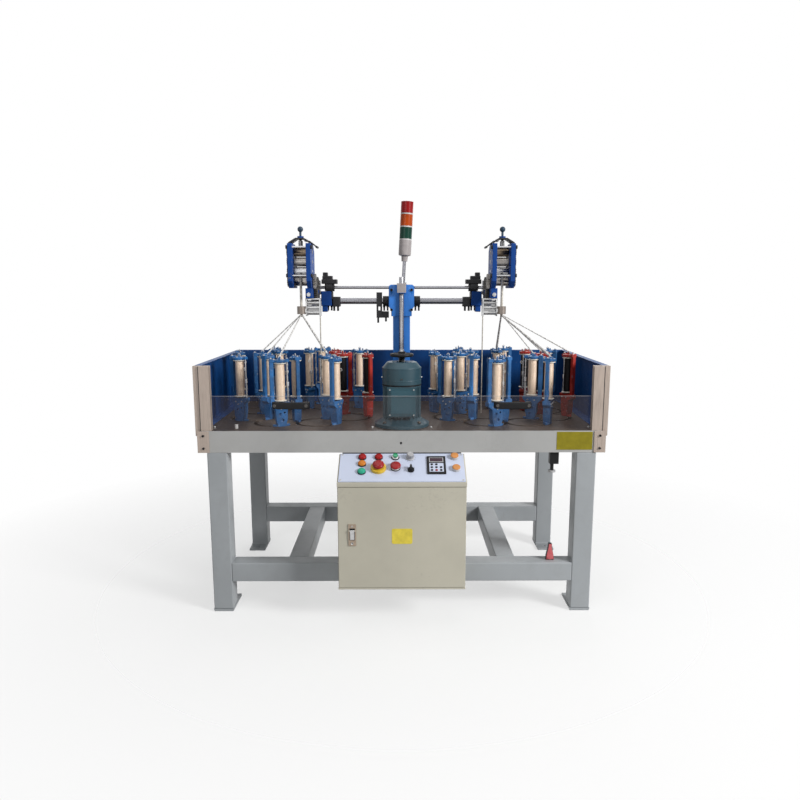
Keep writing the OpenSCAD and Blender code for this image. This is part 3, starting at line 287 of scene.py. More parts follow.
# Clear sheet with a film of dust and long scratches
def clear(name, colour, veil):
    s = Shade(name)
    smear = s.noise(5.0, 6.0, 0.65, (1.0, 1.0, 0.4))
    scratches = s.noise(120.0, 3.0, 0.7, (0.05, 1.0, 1.0))
    film = s.spread(smear, 0.3, 0.75, veil * 0.8, veil * 1.2) + s.spread(scratches, 0.66, 0.76, 0.0, 0.06)
    return s.done(
        Base_Color=s.tones(smear, colour, 0.9, 1.1), Alpha=film, Roughness=0.10, Specular_IOR_Level=0.12)


alongX, alongZ = (0.4, 2.0, 2.0), (3.0, 3.0, 0.15)      # how tool lines are drawn out
# Enamel: colour, roughness, grime, chips, peel; metal: colour, roughness, tool lines, stain, metallic
finish = {
    "stand": enamel("standPaint", (0.345, 0.365, 0.380), 0.42, 0.14, 0.2),
    "table": enamel("tablePaint", (0.410, 0.410, 0.402), 0.42, 0.16, 0.08, dirt=(0.22, 0.19, 0.175)),
    "guard": enamel("guardPaint", (0.004, 0.050, 0.185), 0.40, 0.25, 0.4, dirt=(0.02, 0.03, 0.07),
                    specular=0.16),
    "royal": enamel("royalPaint", (0.009, 0.055, 0.245), 0.44, 0.28, 0.55, dirt=(0.02, 0.03, 0.08),
                    coat=0.0, specular=0.12),
    "column": enamel("columnPaint", (0.030, 0.185, 0.600), 0.34, 0.14, 0.35, dirt=(0.02, 0.04, 0.12)),
    "motor": enamel("motorPaint", (0.023, 0.061, 0.082), 0.36, 0.30, 0.25, 0.12, (0.03, 0.05, 0.05)),
    "motorLid": enamel("motorLid", (0.025, 0.078, 0.104), 0.32, 0.18, 0.15, 0.10, (0.04, 0.07, 0.07)),
    "iron": enamel("blackIron", (0.014, 0.014, 0.016), 0.48, 0.1, 0.2, 0.15, (0.03, 0.028, 0.026), 0.0),
    "cabinet": enamel("cabinetPaint", (0.510, 0.485, 0.400), 0.46, 0.10, 0.12, 0.10, (0.36, 0.33, 0.26),
                      0.05),
    "fascia": enamel("fasciaPlate", (0.53, 0.580, 0.720), 0.34, 0.06, 0.0, 0.02, (0.34, 0.34, 0.38)),
    "knob": enamel("knobPaint", (0.014, 0.040, 0.075), 0.34, 0.2, 0.3, specular=0.2),
    "carrierBlue": casting("carrierBlue", (0.022, 0.118, 0.310)),
    "carrierRed": casting("carrierRed", (0.330, 0.020, 0.012)),
    "steel": turned("turnedSteel"),
    "shaft": turned("groundShaft", (0.25, 0.25, 0.27), 0.26, (0.3, 3.0, 3.0), 0.2),
    "gear": turned("gearSteel", (0.060, 0.055, 0.051), 0.46, stain=0.6, metallic=0.25),
    "roller": turned("rollerSteel", (0.33, 0.31, 0.29), 0.34, alongX, 0.6),
    "bronze": turned("bronzeRoller", (0.20, 0.155, 0.11), 0.36, alongX, 0.5),
    "zinc": turned("zincPlate", (0.48, 0.48, 0.48), 0.36, stain=0.2),
    "post": turned("postAluminium", (0.412, 0.340, 0.291), 0.44, alongZ, 0.10, 0.35),
    "latch": turned("latchPlate", (0.34, 0.27, 0.21), 0.40, stain=0.2),
    "oxide": turned("formingRing", (0.21, 0.18, 0.16), 0.42, stain=0.4, metallic=0.7),
    "deck": oiled("oiledDeck"),
    "black": moulded("blackPlastic", (0.009, 0.009, 0.010), 0.46, specular=0.18),
    "white": moulded("whitePlastic", (0.58, 0.57, 0.56), 0.38),
    "bobbin": moulded("bobbinPlastic", (0.74, 0.70, 0.62), 0.36, 0.2),
    "grey": moulded("greyPlastic", (0.42, 0.42, 0.43), 0.40),
    "lampBody": moulded("lampBody", (0.390, 0.355, 0.350), 0.40, specular=0.25),
    "yellow": moulded("yellowPlastic", (0.68, 0.45, 0.04), 0.36, 0.1, specular=0.25),
    "yellowPlate": moulded("yellowPlate", (0.74, 0.60, 0.07), 0.40),
    "olive": moulded("olivePlate", (0.245, 0.205, 0.012), 0.40, specular=0.25),
    "redButton": moulded("redPlastic", (0.290, 0.012, 0.014), 0.30, 0.1, 0.02, 0.2),
    "greenButton": moulded("greenPlastic", (0.02, 0.30, 0.13), 0.28, 0.5, 0.02),
    "sheave": moulded("redSheave", (0.58, 0.13, 0.14), 0.40),
    "lensRed": lens("lensRed", (0.285, 0.006, 0.007)),
    "lensOrange": lens("lensOrange", (0.430, 0.058, 0.003)),
    "lensGreen": lens("lensGreen", (0.003, 0.042, 0.026)),
    "lensAmber": lens("lensAmber", (0.58, 0.245, 0.075)),
    "pilotAmber": lens("pilotAmber", (0.55, 0.180, 0.020)),
    "pilotGreen": lens("pilotGreen", (0.030, 0.360, 0.230)),
    "display": lens("displayRed", (0.045, 0.022, 0.034), 0.02),
    "cream": wound("creamYarn", (0.900, 0.685, 0.510), (0.46, 0.310, 0.205), gloss=0.6),
    "blackYarn": wound("blackYarn", (0.012, 0.011, 0.012), (0.004, 0.004, 0.005), gloss=0.06),
    "strand": plied("yarnStrand", (0.84, 0.82, 0.79), (0.26, 0.25, 0.24), 200.0),
    "cord": plied("braidedCord", (0.70, 0.66, 0.58), (0.34, 0.31, 0.27), 420.0),
    "clear": clear("clearSheet", (0.30, 0.26, 0.25), 0.045),
    "clearEdge": clear("clearEdge", (0.62, 0.60, 0.60), 0.45),
}
print("finishes:", len(finish))

scratch = bpy.data.meshes.new("scratch")
unit = 0.001                    # pieces are drawn in millimetres
mirrorX = Matrix.Diagonal((-1, 1, 1, 1))
upward, forward = (0, 0, 1), (0, -1, 0)


def turnTo(direction):
    return Vector(direction).to_track_quat("Z", "Y").to_matrix().to_4x4()


def shift(x, y, z):
    return Matrix.Translation((x, y, z))


def spin(degrees, axis="Z"):
    return Matrix.Rotation(math.radians(degrees), 4, axis)


# The points on both sides of the middle
def mirrored(points):
    return [(side * x, y, z) for side in (-1, 1) for x, y, z in points]


# Low and high end of a stretch on the left (-1) or the right (1)
def span(side, a, b):
    return sorted((side * a, side * b))


# Bevels the sharp edges that are long enough to take it
def softenEdges(bm, bevel):
    limit, shortest = math.radians(35), 2.2 * bevel
    sharp = [e for e in bm.edges if len(e.link_faces) == 2 and e.calc_face_angle(0.0) > limit]
    short = {v for e in sharp if e.calc_length() < shortest for v in e.verts}
    picked = [e for e in sharp if e.calc_length() >= shortest and not short.intersection(e.verts)]
    bmesh.ops.bevel(bm, geom=picked, offset=bevel, offset_type="OFFSET", segments=2,
                    profile=0.5, affect="EDGES", clamp_overlap=True, material=-1)


def edgesOf(verts):
    return list({e for v in verts for e in v.link_edges})


# Radius and height of fastenings, as shares of their size
fasteningSet = {
    "washer": (1.1, 0.16), "hexagon": (0.92, 0.85), "hexagonBevel": 0.06,
    "capScrew": ((0.8, 0), (0.8, 0.75), (0.704, 0.9), (0.44, 0.9), (0.4, 0.35), (0, 0.35)),
}


# Shapes gathered in one mesh, each with its finish
class Piece:
    def __init__(self, name):
        self.name = name
        self.bm = bmesh.new()
        self.keys = []
        self.now = 0

    def use(self, key):
        if key not in self.keys:
            self.keys.append(key)
        self.now = self.keys.index(key)
        return self

    # Bevels a finished shape, gives it the finish in use and adds it
    def keep(self, bm, bevel=0.0, place=None):
        bmesh.ops.recalc_face_normals(bm, faces=bm.faces)
        if bevel:
            softenEdges(bm, bevel)
        if place is not None:
            bmesh.ops.transform(bm, matrix=place, verts=bm.verts)
            if place.determinant() < 0:
                bmesh.ops.reverse_faces(bm, faces=bm.faces)
        for f in bm.faces:
            f.material_index = self.now
        bm.to_mesh(scratch)
        bm.free()
        self.bm.from_mesh(scratch)
        return self

    def box(self, low, high, bevel=0.8, place=None):
        low, high = Vector(low), Vector(high)
        bm = bmesh.new()
        bmesh.ops.create_cube(bm, size=1)
        bmesh.ops.scale(bm, vec=high - low, verts=bm.verts)
        bmesh.ops.translate(bm, vec=(low + high) / 2, verts=bm.verts)
        return self.keep(bm, bevel, place)

    def rod(self, a, b, radius, top=None, sides=28, bevel=0.0, place=None):
        a, b = Vector(a), Vector(b)
        bm = bmesh.new()
        bmesh.ops.create_cone(bm, cap_ends=True, segments=sides, radius1=radius,
                              radius2=radius if top is None else top, depth=(b - a).length)
        bmesh.ops.transform(bm, matrix=Matrix.Translation((a + b) / 2) @ turnTo(b - a), verts=bm.verts)
        return self.keep(bm, bevel, place)

    # A profile of (radius, height) pairs spun round Z
    def lathe(self, profile, place=None, steps=40, closed=False):
        bm = bmesh.new()
        verts = [bm.verts.new((r, 0, z)) for r, z in profile]
        pairs = list(zip(verts, verts[1:]))
        if closed:
            pairs.append((verts[-1], verts[0]))
        edges = [bm.edges.new(pair) for pair in pairs]
        bmesh.ops.spin(bm, geom=verts + edges, cent=(0, 0, 0), axis=(0, 0, 1), dvec=(0, 0, 0),
                       angle=2 * math.pi, steps=steps, use_merge=True, use_duplicate=False)
        bmesh.ops.remove_doubles(bm, verts=bm.verts, dist=0.001)
        return self.keep(bm, 0, place)

    # A band with a square section from one radius and height to another
    def band(self, inner, outer, low, high, place=None, steps=40):
        return self.lathe([(inner, low), (outer, low), (outer, high), (inner, high)], place, steps, True)

    # A flat outline with round holes, drawn out along Z
    def plate(self, outline, depth, holes=(), place=None, bevel=0.6):
        bm = bmesh.new()
        verts = [bm.verts.new((x, y, 0)) for x, y in outline]
        edges = [bm.edges.new(pair) for pair in zip(verts, verts[1:] + verts[:1])]
        if holes:
            for x, y, r in holes:
                made = bmesh.ops.create_circle(bm, segments=24, radius=r, matrix=shift(x, y, 0))
                edges += edgesOf(made["verts"])
            bmesh.ops.triangle_fill(bm, edges=edges, use_beauty=True)
        else:
            bm.faces.new(verts)
        made = bmesh.ops.extrude_face_region(bm, geom=list(bm.faces))
        top = [g for g in made["geom"] if isinstance(g, bmesh.types.BMVert)]
        bmesh.ops.translate(bm, verts=top, vec=(0, 0, depth))
        return self.keep(bm, bevel, place)

    # A round wire wound as a screw
    def coil(self, radius, wire, pitch, turns, place=None):
        bm = bmesh.new()
        sides, steps = 6, 10 * turns
        made = bmesh.ops.create_circle(bm, segments=sides, radius=wire,
                                       matrix=shift(radius, 0, 0) @ spin(90, "X"))
        bmesh.ops.spin(bm, geom=made["verts"] + edgesOf(made["verts"]), cent=(0, 0, 0), axis=(0, 0, 1),
                       dvec=(0, 0, pitch * turns / steps), angle=2 * math.pi * turns, steps=steps)
        bmesh.ops.holes_fill(bm, edges=bm.edges, sides=sides)
        return self.keep(bm, 0, place)

    # Hexagon head on a washer
    def bolt(self, centre, direction, size, place=None):
        s = fasteningSet
        c, d = Vector(centre), Vector(direction).normalized()
        (washer, low), (head, high) = s["washer"], s["hexagon"]
        self.rod(c, c + d * size * low, size * washer, sides=20, place=place)
        return self.rod(c + d * size * low, c + d * size * high, size * head, sides=6,
                        bevel=size * s["hexagonBevel"], place=place)

    # Cylinder head with a socket
    def capScrew(self, centre, direction, size, place=None):
        seat = Matrix.Translation(centre) @ turnTo(direction)
        profile = [(size * r, size * z) for r, z in fasteningSet["capScrew"]]
        return self.lathe(profile, seat if place is None else place @ seat, 16)

    # Adds a copy of another piece, with some of its finishes changed
    def sew(self, other, place, recolour=None):
        other.bm.to_mesh(scratch)
        scratch.transform(place)
        start = len(self.bm.faces)
        self.bm.from_mesh(scratch)
        self.bm.faces.ensure_lookup_table()
        for f in self.bm.faces[start:]:
            key = other.keys[f.material_index]
            self.use((recolour or {}).get(key, key))
            f.material_index = self.now
        return self

    # Gives another finish to the faces whose centre passes a test
    def repaint(self, key, test):
        self.use(key)
        for f in self.bm.faces:
            if test(f.calc_center_median()):
                f.material_index = self.now
        return self

    # Makes the object, hides the node that it stands for and hangs it on the body that it rides on
    def done(self, node, slot, body="machine_frame"):
        bmesh.ops.scale(self.bm, vec=(unit, unit, unit), verts=self.bm.verts)
        mesh = bpy.data.meshes.new(self.name)
        for f in self.bm.faces:
            f.smooth = True
        self.bm.to_mesh(mesh)
        self.bm.free()
        mesh.set_sharp_from_angle(angle=math.radians(50))
        for key in self.keys:
            mesh.materials.append(finish[key])
        obj = bpy.data.objects.new(self.name, mesh)
        addToScene(obj)
        weigh = obj.modifiers.new("faceWeight", "WEIGHTED_NORMAL")
        weigh.keep_sharp = True
        if body:
            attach(obj, body)
        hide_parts(node)
        return obj


# Corners of a rectangle from its centre and half its width and height
def rectangle(x, y, a, b):
    return [(x - a, y - b), (x + a, y - b), (x + a, y + b), (x - a, y + b)]


# Merged copy of a node's mesh in millimetres, as its separate solids
def solids(node):
    bm = bmesh.new()
    bm.from_mesh(nodes[node].data)
    bmesh.ops.scale(bm, vec=(1 / unit, 1 / unit, 1 / unit), verts=bm.verts)
    bmesh.ops.remove_doubles(bm, verts=bm.verts, dist=0.003)
    left = set(bm.faces)
    groups = []
    while left:
        first = left.pop()
        group, queue = {first}, [first]
        while queue:
            for e in queue.pop().edges:
                for f in e.link_faces:
                    if f in left:
                        left.discard(f)
                        group.add(f)
                        queue.append(f)
        groups.append(group)
    return bm, groups


# Softened copy of a node, or of those of its solids that a test picks
def skin(node, key, bevel=1.2, name=None, pick=None):
    bm, groups = solids(node)
    if pick:
        dropped = [f for g in groups if not pick(g) for f in g]
        bmesh.ops.delete(bm, geom=dropped, context="FACES")
    bmesh.ops.dissolve_limit(bm, angle_limit=math.radians(0.6), verts=bm.verts, edges=bm.edges)
    piece = Piece(name or node + "_finish").use(key)
    if bevel:
        softenEdges(bm, bevel)
    for f in bm.faces:
        f.material_index = 0
    bm.to_mesh(scratch)
    bm.free()
    piece.bm.from_mesh(scratch)
    return piece


def lowHigh(faces):
    points = [v.co for f in faces for v in f.verts]
    return [Vector([pick(p[k] for p in points) for k in range(3)]) for pick in (min, max)]


# Low and high corner of a node in millimetres
def corners(node):
    return [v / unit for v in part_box(node)]


# Floor and light, in metres and watts
stageSet = {
    "floor": (0.88, 0.88, 0.875), "cover": 0.4, "sink": 0.0005,
    "solid": 0.8, "reach": 2.6, "fade": 2.548,              # where the floor starts to fade and ends
    "sky": 0.15, "aim": (0, 0, 0.9),
    "lamps": (
        ("keyLamp", (5.2, -3.7, 3.5), 450.0, 1.8), ("fillLamp", (-2.2, -4.0, 2.4), 42.0, 2.6),
        ("topLamp", (0.0, -0.4, 4.0), 32.0, 3.0), ("backLamp", (0.4, 3.4, 3.0), 34.0, 2.4)),
}


def makeFloor(s):
    bm = bmesh.new()
    bmesh.ops.create_circle(bm, cap_ends=True, segments=96, radius=s["reach"])
    mesh = bpy.data.meshes.new("floor")
    bm.to_mesh(mesh)
    bm.free()
    shade = Shade("floorFinish")
    coords = shade.node("TexCoord", output="Object")
    away = shade.node("VectorMath", {"operation": "LENGTH"}, {0: coords}, 1)
    veil = shade.spread(away, s["solid"], s["fade"], s["cover"], 0.0)
    tone = shade.tones(shade.noise(1.2), s["floor"], 0.985, 1.0)
    mesh.materials.append(shade.done(Base_Color=tone, Roughness=0.7, Alpha=veil))
    floor = bpy.data.objects.new("floor", mesh)
    floor.location.z = -s["sink"]
    addToScene(floor)


# White where it is seen, dim where it lights the object
def makeWorld(s):
    world = bpy.data.worlds.new("studio")
    bpy.context.scene.world = world
    sky = Graph(world)
    camera, glass, gloss = (
        sky.node("LightPath", output="Is %s Ray" % kind) for kind in ("Camera", "Transmission", "Glossy"))
    level = sky.node("MapRange", None, {"Value": camera | glass | gloss, "To Min": s["sky"], "To Max": 1.0})
    back = sky.find("BACKGROUND")
    sky.join(back.inputs["Color"], (1, 1, 1))
    sky.join(back.inputs["Strength"], level)


def makeLamps(s):
    for name, place, power, size in s["lamps"]:
        data = bpy.data.lights.new(name, "AREA")
        data.energy = power
        data.size = size
        lamp = bpy.data.objects.new(name, data)
        lamp.location = place
        aim = Vector(s["aim"]) - Vector(place)
        lamp.rotation_euler = aim.to_track_quat("-Z", "Y").to_euler()
        addToScene(lamp)


makeFloor(stageSet)
makeWorld(stageSet)
makeLamps(stageSet)
print("stage ready")

# Stand: square tubes on foot plates, welded
standSet = {
    "tube": 80, "corner": 5, "rail": 130, "cross": 436, "foot": 155, "plate": 10, "anchor": 7,
    "legBead": 5, "sideBead": 2.5, "railBead": 3, "beadInset": 4,
    "sink": 1,                          # how far the rails reach into the legs
}


def makeStand(s):
    high = corners("stand_frame")[1]
    piece = Piece("stand_finish").use("stand")
    t, low, top = s["tube"], s["rail"], s["rail"] + s["tube"]
    inner, reach = high.x - t, high.y - t
    ground, inset, sink, bead = s["plate"], s["beadInset"], s["sink"], s["railBead"]
    a, b = t / 2, s["foot"] / 2
    for sx in (-1, 1):
        for sy in (-1, 1):
            x, y = span(sx, inner, high.x), span(sy, reach, high.y)
            piece.box((x[0], y[0], ground), (x[1], y[1], high.z), s["corner"])
            seat = shift(sx * (high.x - a), sy * (high.y - b), 0)
            piece.plate(rectangle(0, 0, a, b), ground, [(0, -sy * a, s["anchor"])], seat, 1.0)
            weld = sy * reach
            piece.rod((x[0], weld, ground), (x[1], weld, ground), s["legBead"], sides=10)
            for edge in x:
                piece.rod((edge, y[0], ground), (edge, y[1], ground), s["sideBead"], sides=8)
    for sy in (-1, 1):
        y = span(sy, reach, high.y)
        piece.box((-inner - sink, y[0], low), (inner + sink, y[1], top), s["corner"])
        for sx in (-1, 1):
            for z in (low + bead, top - bead):
                piece.rod((sx * inner, y[0] + inset, z), (sx * inner, y[1] - inset, z), bead, sides=8)
    for sx in (-1, 1):
        x = span(sx, s["cross"] - a, s["cross"] + a)
        piece.box((x[0], -reach - sink, low), (x[1], reach + sink, top), s["corner"])
        for y in (-reach, reach):
            piece.rod((x[0] + inset, y, top - 2), (x[1] - inset, y, top - 2), bead, sides=8)
    piece.done("stand_frame", "stand_paint")


makeStand(standSet)
print("stand ready")

# Nodes whose solids keep their form under a softened skin: finish, bevel, slot, rides on its own body
skinSet = {
    "gear_bed": ("gear", 0, "deck_steel", False),
    "guard_panels": ("guard", 1.0, "guard_paint", False),
    "arm_tubes": ("shaft", 0, "bright_steel", False),
    "cabinet_shell": ("cabinet", 1.4, "cabinet_paint", False),
    "braid_cords": ("cord", 0, "yarn", False),
    "drive_gear": ("gear", 0, "deck_steel", True),
    "takeup_shaft": ("shaft", 0, "bright_steel", True),
    "cross_shaft": ("shaft", 0, "bright_steel", True),
    "takeup_idlers": ("gear", 0, "deck_steel", True),
}
for node, (key, bevel, slot, moves) in skinSet.items():
    skin(node, key, bevel).done(node, slot, node if moves else "machine_frame")
print("skins ready")

# Carriers: one casting with its fittings, copied to every place; heights count from the deck
carrierSet = {
    "angles": (45, 135), "rotorCount": 8, "red": {(7, 0), (7, 1), (0, 1)},
    "deck": 763.0, "crown": 265.3, "crownHeight": 9.0, "pinTop": 285.3,
    "bobbin": 105.3, "bobbinLength": 157.0, "flange": 25.5, "rim": 4.0, "barrel": 12.0, "bore": 5.4,
    "package": 18.5, "fullness": (1.0, 0.95, 1.02),
    "teeth": 10, "tooth": (21.5, 26.5, 2.2, 2.6, 3.5),                  # ratchet round the crown
    "blocks": ((-42, -28, 11.5, 4.5, 1.2), (24, 36, 6, 3.5, 1.0)),      # on the post and on the guide rod
    "blockBolts": ((-35, 5), (31.0, 4)), "swell": (-35, 118, 146, 9.5),
    "screws": ((-15, -15, 86), (15, -15, 86), (-2, -15, 74), (-15, 15, 86), (15, 15, 86)), "screw": 4,
    "rodX": 31.0, "rod": (98, 2.9), "spring": (4.6, 0.9, 4.0, 14, 104),
    "sleeves": ((164, ((2.7, 0), (5.8, 0), (6.4, 1), (6.4, 17), (5.8, 18), (2.7, 18))),
                (250, ((2.7, 0), (5.0, 0), (5.0, 5), (2.7, 5)))),
    "eye": (5.2, 1.5), "eyeSink": 1.0, "lowEye": (-7.5, 40),
}
sides = ("left", "right")


def rotorCentre(side, i):
    return Vector(joints["%s_rotor_%d_spin" % (side, i + 1)]["pos_m"]) / unit


def headCentre(side):
    found = [rotorCentre(side, i) for i in range(carrierSet["rotorCount"])]
    return sum(found, Vector()) / len(found)


hornRadius = (rotorCentre("left", 0) - rotorCentre("left", 1)).length / 2


def carrierPlace(side, i, k):
    s = carrierSet
    c, h = rotorCentre(side, i), headCentre(side)
    ring = math.degrees(math.atan2(c.y - h.y, c.x - h.x))
    return shift(c.x, c.y, 0) @ spin(ring + s["angles"][k]) @ shift(hornRadius, 0, s["deck"]) @ spin(90)


def isCarrier(faces):
    return lowHigh(faces)[1].z > carrierSet["deck"] + carrierSet["crown"]


def isHornGear(faces):
    return lowHigh(faces)[1].z < carrierSet["deck"]


def makeCarrier(s):
    home = carrierPlace("left", 0, 0).inverted()

    def isFirst(faces):
        low, high = lowHigh(faces)
        middle = home @ ((low + high) / 2)
        return isCarrier(faces) and middle.xy.length < hornRadius / 2

    piece = skin("left_rotor_1", "carrierBlue", 1.0, "carrier", isFirst)
    bmesh.ops.transform(piece.bm, matrix=home, verts=piece.bm.verts)
    crown, rodX = s["crown"], s["rodX"]
    top = crown + s["crownHeight"]
    near, far, half, below, above = s["tooth"]
    for k in range(s["teeth"]):
        turn = spin(360 / s["teeth"] * (k + 0.5))
        piece.box((near, -half, crown - below), (far, half, crown + above), 0.5, turn)
    for x0, x1, half, height, bevel in s["blocks"]:
        piece.box((x0, -half, top), (x1, half, top + height), bevel)
    x, low, high, r = s["swell"]
    piece.rod((x, 0, low), (x, 0, high), r, sides=16, bevel=1.0)
    piece.use("steel")
    for (x, size), block in zip(s["blockBolts"], s["blocks"]):
        piece.bolt((x, 0, top + block[3]), upward, size)
    for x, y, z in s["screws"]:
        piece.capScrew((x, y, z), (0, y, 0), s["screw"])
    low, r = s["rod"]
    piece.rod((rodX, 0, low), (rodX, 0, crown), r, sides=12)
    r, wire, pitch, turns, low = s["spring"]
    piece.coil(r, wire, pitch, turns, shift(rodX, 0, low))
    for low, profile in s["sleeves"]:
        piece.lathe(profile, shift(rodX, 0, low), 16)
    piece.use("white")
    r, wire = s["eye"]
    around = [k * math.pi / 4 for k in range(8)]
    ring = [(r + wire * math.cos(a), wire * math.sin(a)) for a in around]
    y, drop = s["lowEye"]
    piece.lathe(ring, shift(0, 0, s["pinTop"] - s["eyeSink"]) @ spin(90, "X"), 14, True)
    piece.lathe(ring, shift(rodX, y, crown - drop) @ spin(90) @ spin(90, "X"), 14, True)
    return piece


def makeBobbin(s):
    f, r, b, n, o = s["flange"], s["rim"], s["barrel"], s["bobbinLength"], s["bore"]
    foot = [(o, 0), (o + 2, 0), (o + 3, 1), (f - 2, 1), (f - 1, 0.3), (f, 1.2), (f, r - 1), (f - 1.2, r),
            (b, r + 1.5)]
    head = [(b, n - r - 1.5), (f - 1.2, n - r), (f, n - r + 1), (f, n - 1.2), (f - 1, n - 0.3),
            (f - 2, n - 1), (o + 3, n - 1), (o + 2, n), (o, n)]
    return Piece("bobbin").use("bobbin").lathe(foot + head, closed=True, steps=32)


def makePackage(s, fullness):
    b, r = s["barrel"] + 0.2, s["package"] * fullness
    low, high = s["rim"] + 0.6, s["bobbinLength"] - s["rim"] - 0.6
    swell, steps = 0.9, 12
    waist = []
    for t in range(steps + 1):
        bulge = swell * math.sin(math.pi * t / steps) ** 0.5
        waist.append((r - swell + bulge, low + 2 + (high - low - 4) * t / steps))
    profile = [(b, low + 0.5), (r - 2.5, low)] + waist + [(r - 2.5, high), (b, high - 0.5)]
    return Piece("package").use("cream").lathe(profile, steps=36)


def makeRotors(s):
    carrier, bobbin = makeCarrier(s), makeBobbin(s)
    packages = [makePackage(s, fullness) for fullness in s["fullness"]]
    blackYarn, red = {"cream": "blackYarn"}, {"carrierBlue": "carrierRed"}
    for side in sides:
        for i in range(s["rotorCount"]):
            body = "%s_rotor_%d" % (side, i + 1)
            skin(body, "gear", 0, body + "_horn_gear", isHornGear).done(body, "deck_steel", body)
            castings, spools, yarn = (Piece(body + end) for end in ("_carriers", "_bobbins", "_packages"))
            for k in (0, 1):
                place = carrierPlace(side, i, k)
                isRed = (i, k) in s["red"]
                castings.sew(carrier, place, red if isRed else None)
                seat = place @ shift(0, 0, s["bobbin"])
                spools.sew(bobbin, seat)
                yarn.sew(packages[(i + 2 * k) % 3], seat, blackYarn if isRed else None)
            castings.done(body, "carrier_paint", body)
            spools.done(body, "grey_plastic", body)
            yarn.done(body, "yarn", body)


makeRotors(carrierSet)
print("rotors ready")

# Console: the fascia and its devices, drawn in the slope's own frame
consoleSet = {
    "lip": (-572.0, 590.0), "rise": (143.5, 81.0), "width": 500.0, "fascia": 4.0, "inset": (5, 3),
    "screws": (14, 11), "screw": ((4.2, 0), (3.6, 1.4), (1.6, 2.0), (0, 2.0)),
    "lamps": (("lensRed", -157, 138), ("pilotAmber", -157, 100), ("pilotGreen", -157, 56),
              ("lensRed", -92, 138), ("lensAmber", 209, 138), ("lensAmber", 212, 71)),
    "lampRadius": 16.5, "tallLamp": (11, 2.5), "lowLamp": (5, 6),       # height of foot and dome
    "stopDisc": (-92, 74, 30, 12), "stopCollar": (-25, 78, 17), "startCollar": (-26, 138, 14),
    "collarHeight": 7.0, "knob": (33, 136), "selector": (35, 65),
    "dial": (-0.5, 19, 0.5, 22.5), "pointer": (-0.7, 17, 0.7, 21), "print": 0.3,
    "keypad": (135, 92, 74, 100), "keyRows": (3, 3, 2), "keyGrid": (18, 16, -32), "redKey": (0, 1),
    "keyCap": ((5, 5.4), (5, 7.0), (4.2, 7.6), (0, 7.8)),
}


def consolePlace(s):
    slope = math.atan2(s["rise"][1], s["rise"][0])
    return shift(0, *s["lip"]) @ Matrix.Rotation(slope, 4, "X")


def collar(piece, place, radius, height, bore=8.2):
    edge = 1.5
    piece.lathe([(bore, 0), (radius, 0), (radius, height - edge), (radius - edge, height), (bore, height)],
                place, 36, True)


# Keypad: black frame, pale key field, dark display and eight keys
def makeKeypad(piece, s, face):
    x, y, width, height = s["keypad"]
    seat = face @ shift(x, y, 0)
    a, b = width / 2, height / 2
    fields = (
        ("black", 0, -b, b, 0, 5, 1.6), ("fascia", 9, 10 - b, 8, 4.5, 5.8, 0.5),
        ("grey", 9, 14, b - 10, 4.5, 5.6, 0.5), ("display", 12, 17, b - 13, 5.0, 6.2, 0.4))
    for key, inset, y0, y1, z0, z1, bevel in fields:
        piece.use(key).box((inset - a, y0, z0), (a - inset, y1, z1), bevel, seat)
    dx, dy, first = s["keyGrid"]
    for row, count in enumerate(s["keyRows"]):
        for k in range(count):
            piece.use("redButton" if (row, k) == s["redKey"] else "black")
            piece.lathe(s["keyCap"], seat @ shift(dx * (k - 1), first + dy * row, 0), 20)


def makeConsole(s):
    length, t = math.hypot(*s["rise"]), s["fascia"]
    a = s["width"] / 2
    flat = consolePlace(s)
    piece = Piece("console_fascia_finish").use("fascia")
    dx, dy = s["inset"]
    piece.box((dx - a, dy, 0), (a - dx, length - dy, t), 0.8, flat)
    piece.use("zinc")
    dx, dy = s["screws"]
    for x in (dx - a, a - dx):
        for y in (dy, length - dy):
            piece.lathe(s["screw"], flat @ shift(x, y, t), 16)
    x, y, r, height = s["stopDisc"]
    collar(piece.use("yellow"), flat @ shift(x, y, t), r, height)
    for key, (x, y, r) in (("white", s["stopCollar"]), ("zinc", s["startCollar"])):
        collar(piece.use(key), flat @ shift(x, y, t), r, s["collarHeight"])
        collar(piece.use("black"), flat @ shift(x, y, t), r + 2.5, 2.5, r - 1)
    marks = (("knob", "dial", range(-150, 151, 30)), ("selector", "pointer", (-45, 0, 45)))
    for spot, mark, angles in marks:
        x0, y0, x1, y1 = s[mark]
        for angle in angles:
            place = flat @ shift(*s[spot], 0) @ spin(angle)
            piece.box((x0, y0, t), (x1, y1, t + s["print"]), 0, place)
    makeKeypad(piece, s, flat @ shift(0, 0, t))
    piece.done("console_fascia", "fascia_plate")


def makePilots(s):
    flat = consolePlace(s)
    lamps = Piece("pilot_lamps_finish")
    r = s["lampRadius"]
    rim = r - 1.0
    for key, x, y in s["lamps"]:
        seat = flat @ shift(x, y, s["fascia"])
        isTall = key == "lensAmber"
        foot, swell = s["tallLamp"] if isTall else s["lowLamp"]
        collar(lamps.use("white" if isTall else "black"), seat, r, foot, 0.0)
        dome = [(rim, foot), (rim, foot + 2)]
        for degrees in (25, 45, 65, 80, 90):
            a = math.radians(degrees)
            dome.append((rim * math.cos(a), foot + 2 + swell * math.sin(a)))
        lamps.use(key).lathe(dome, seat, 32)
    lamps.done("pilot_lamps", "lamp_plastic")


makeConsole(consoleSet)
makePilots(consoleSet)

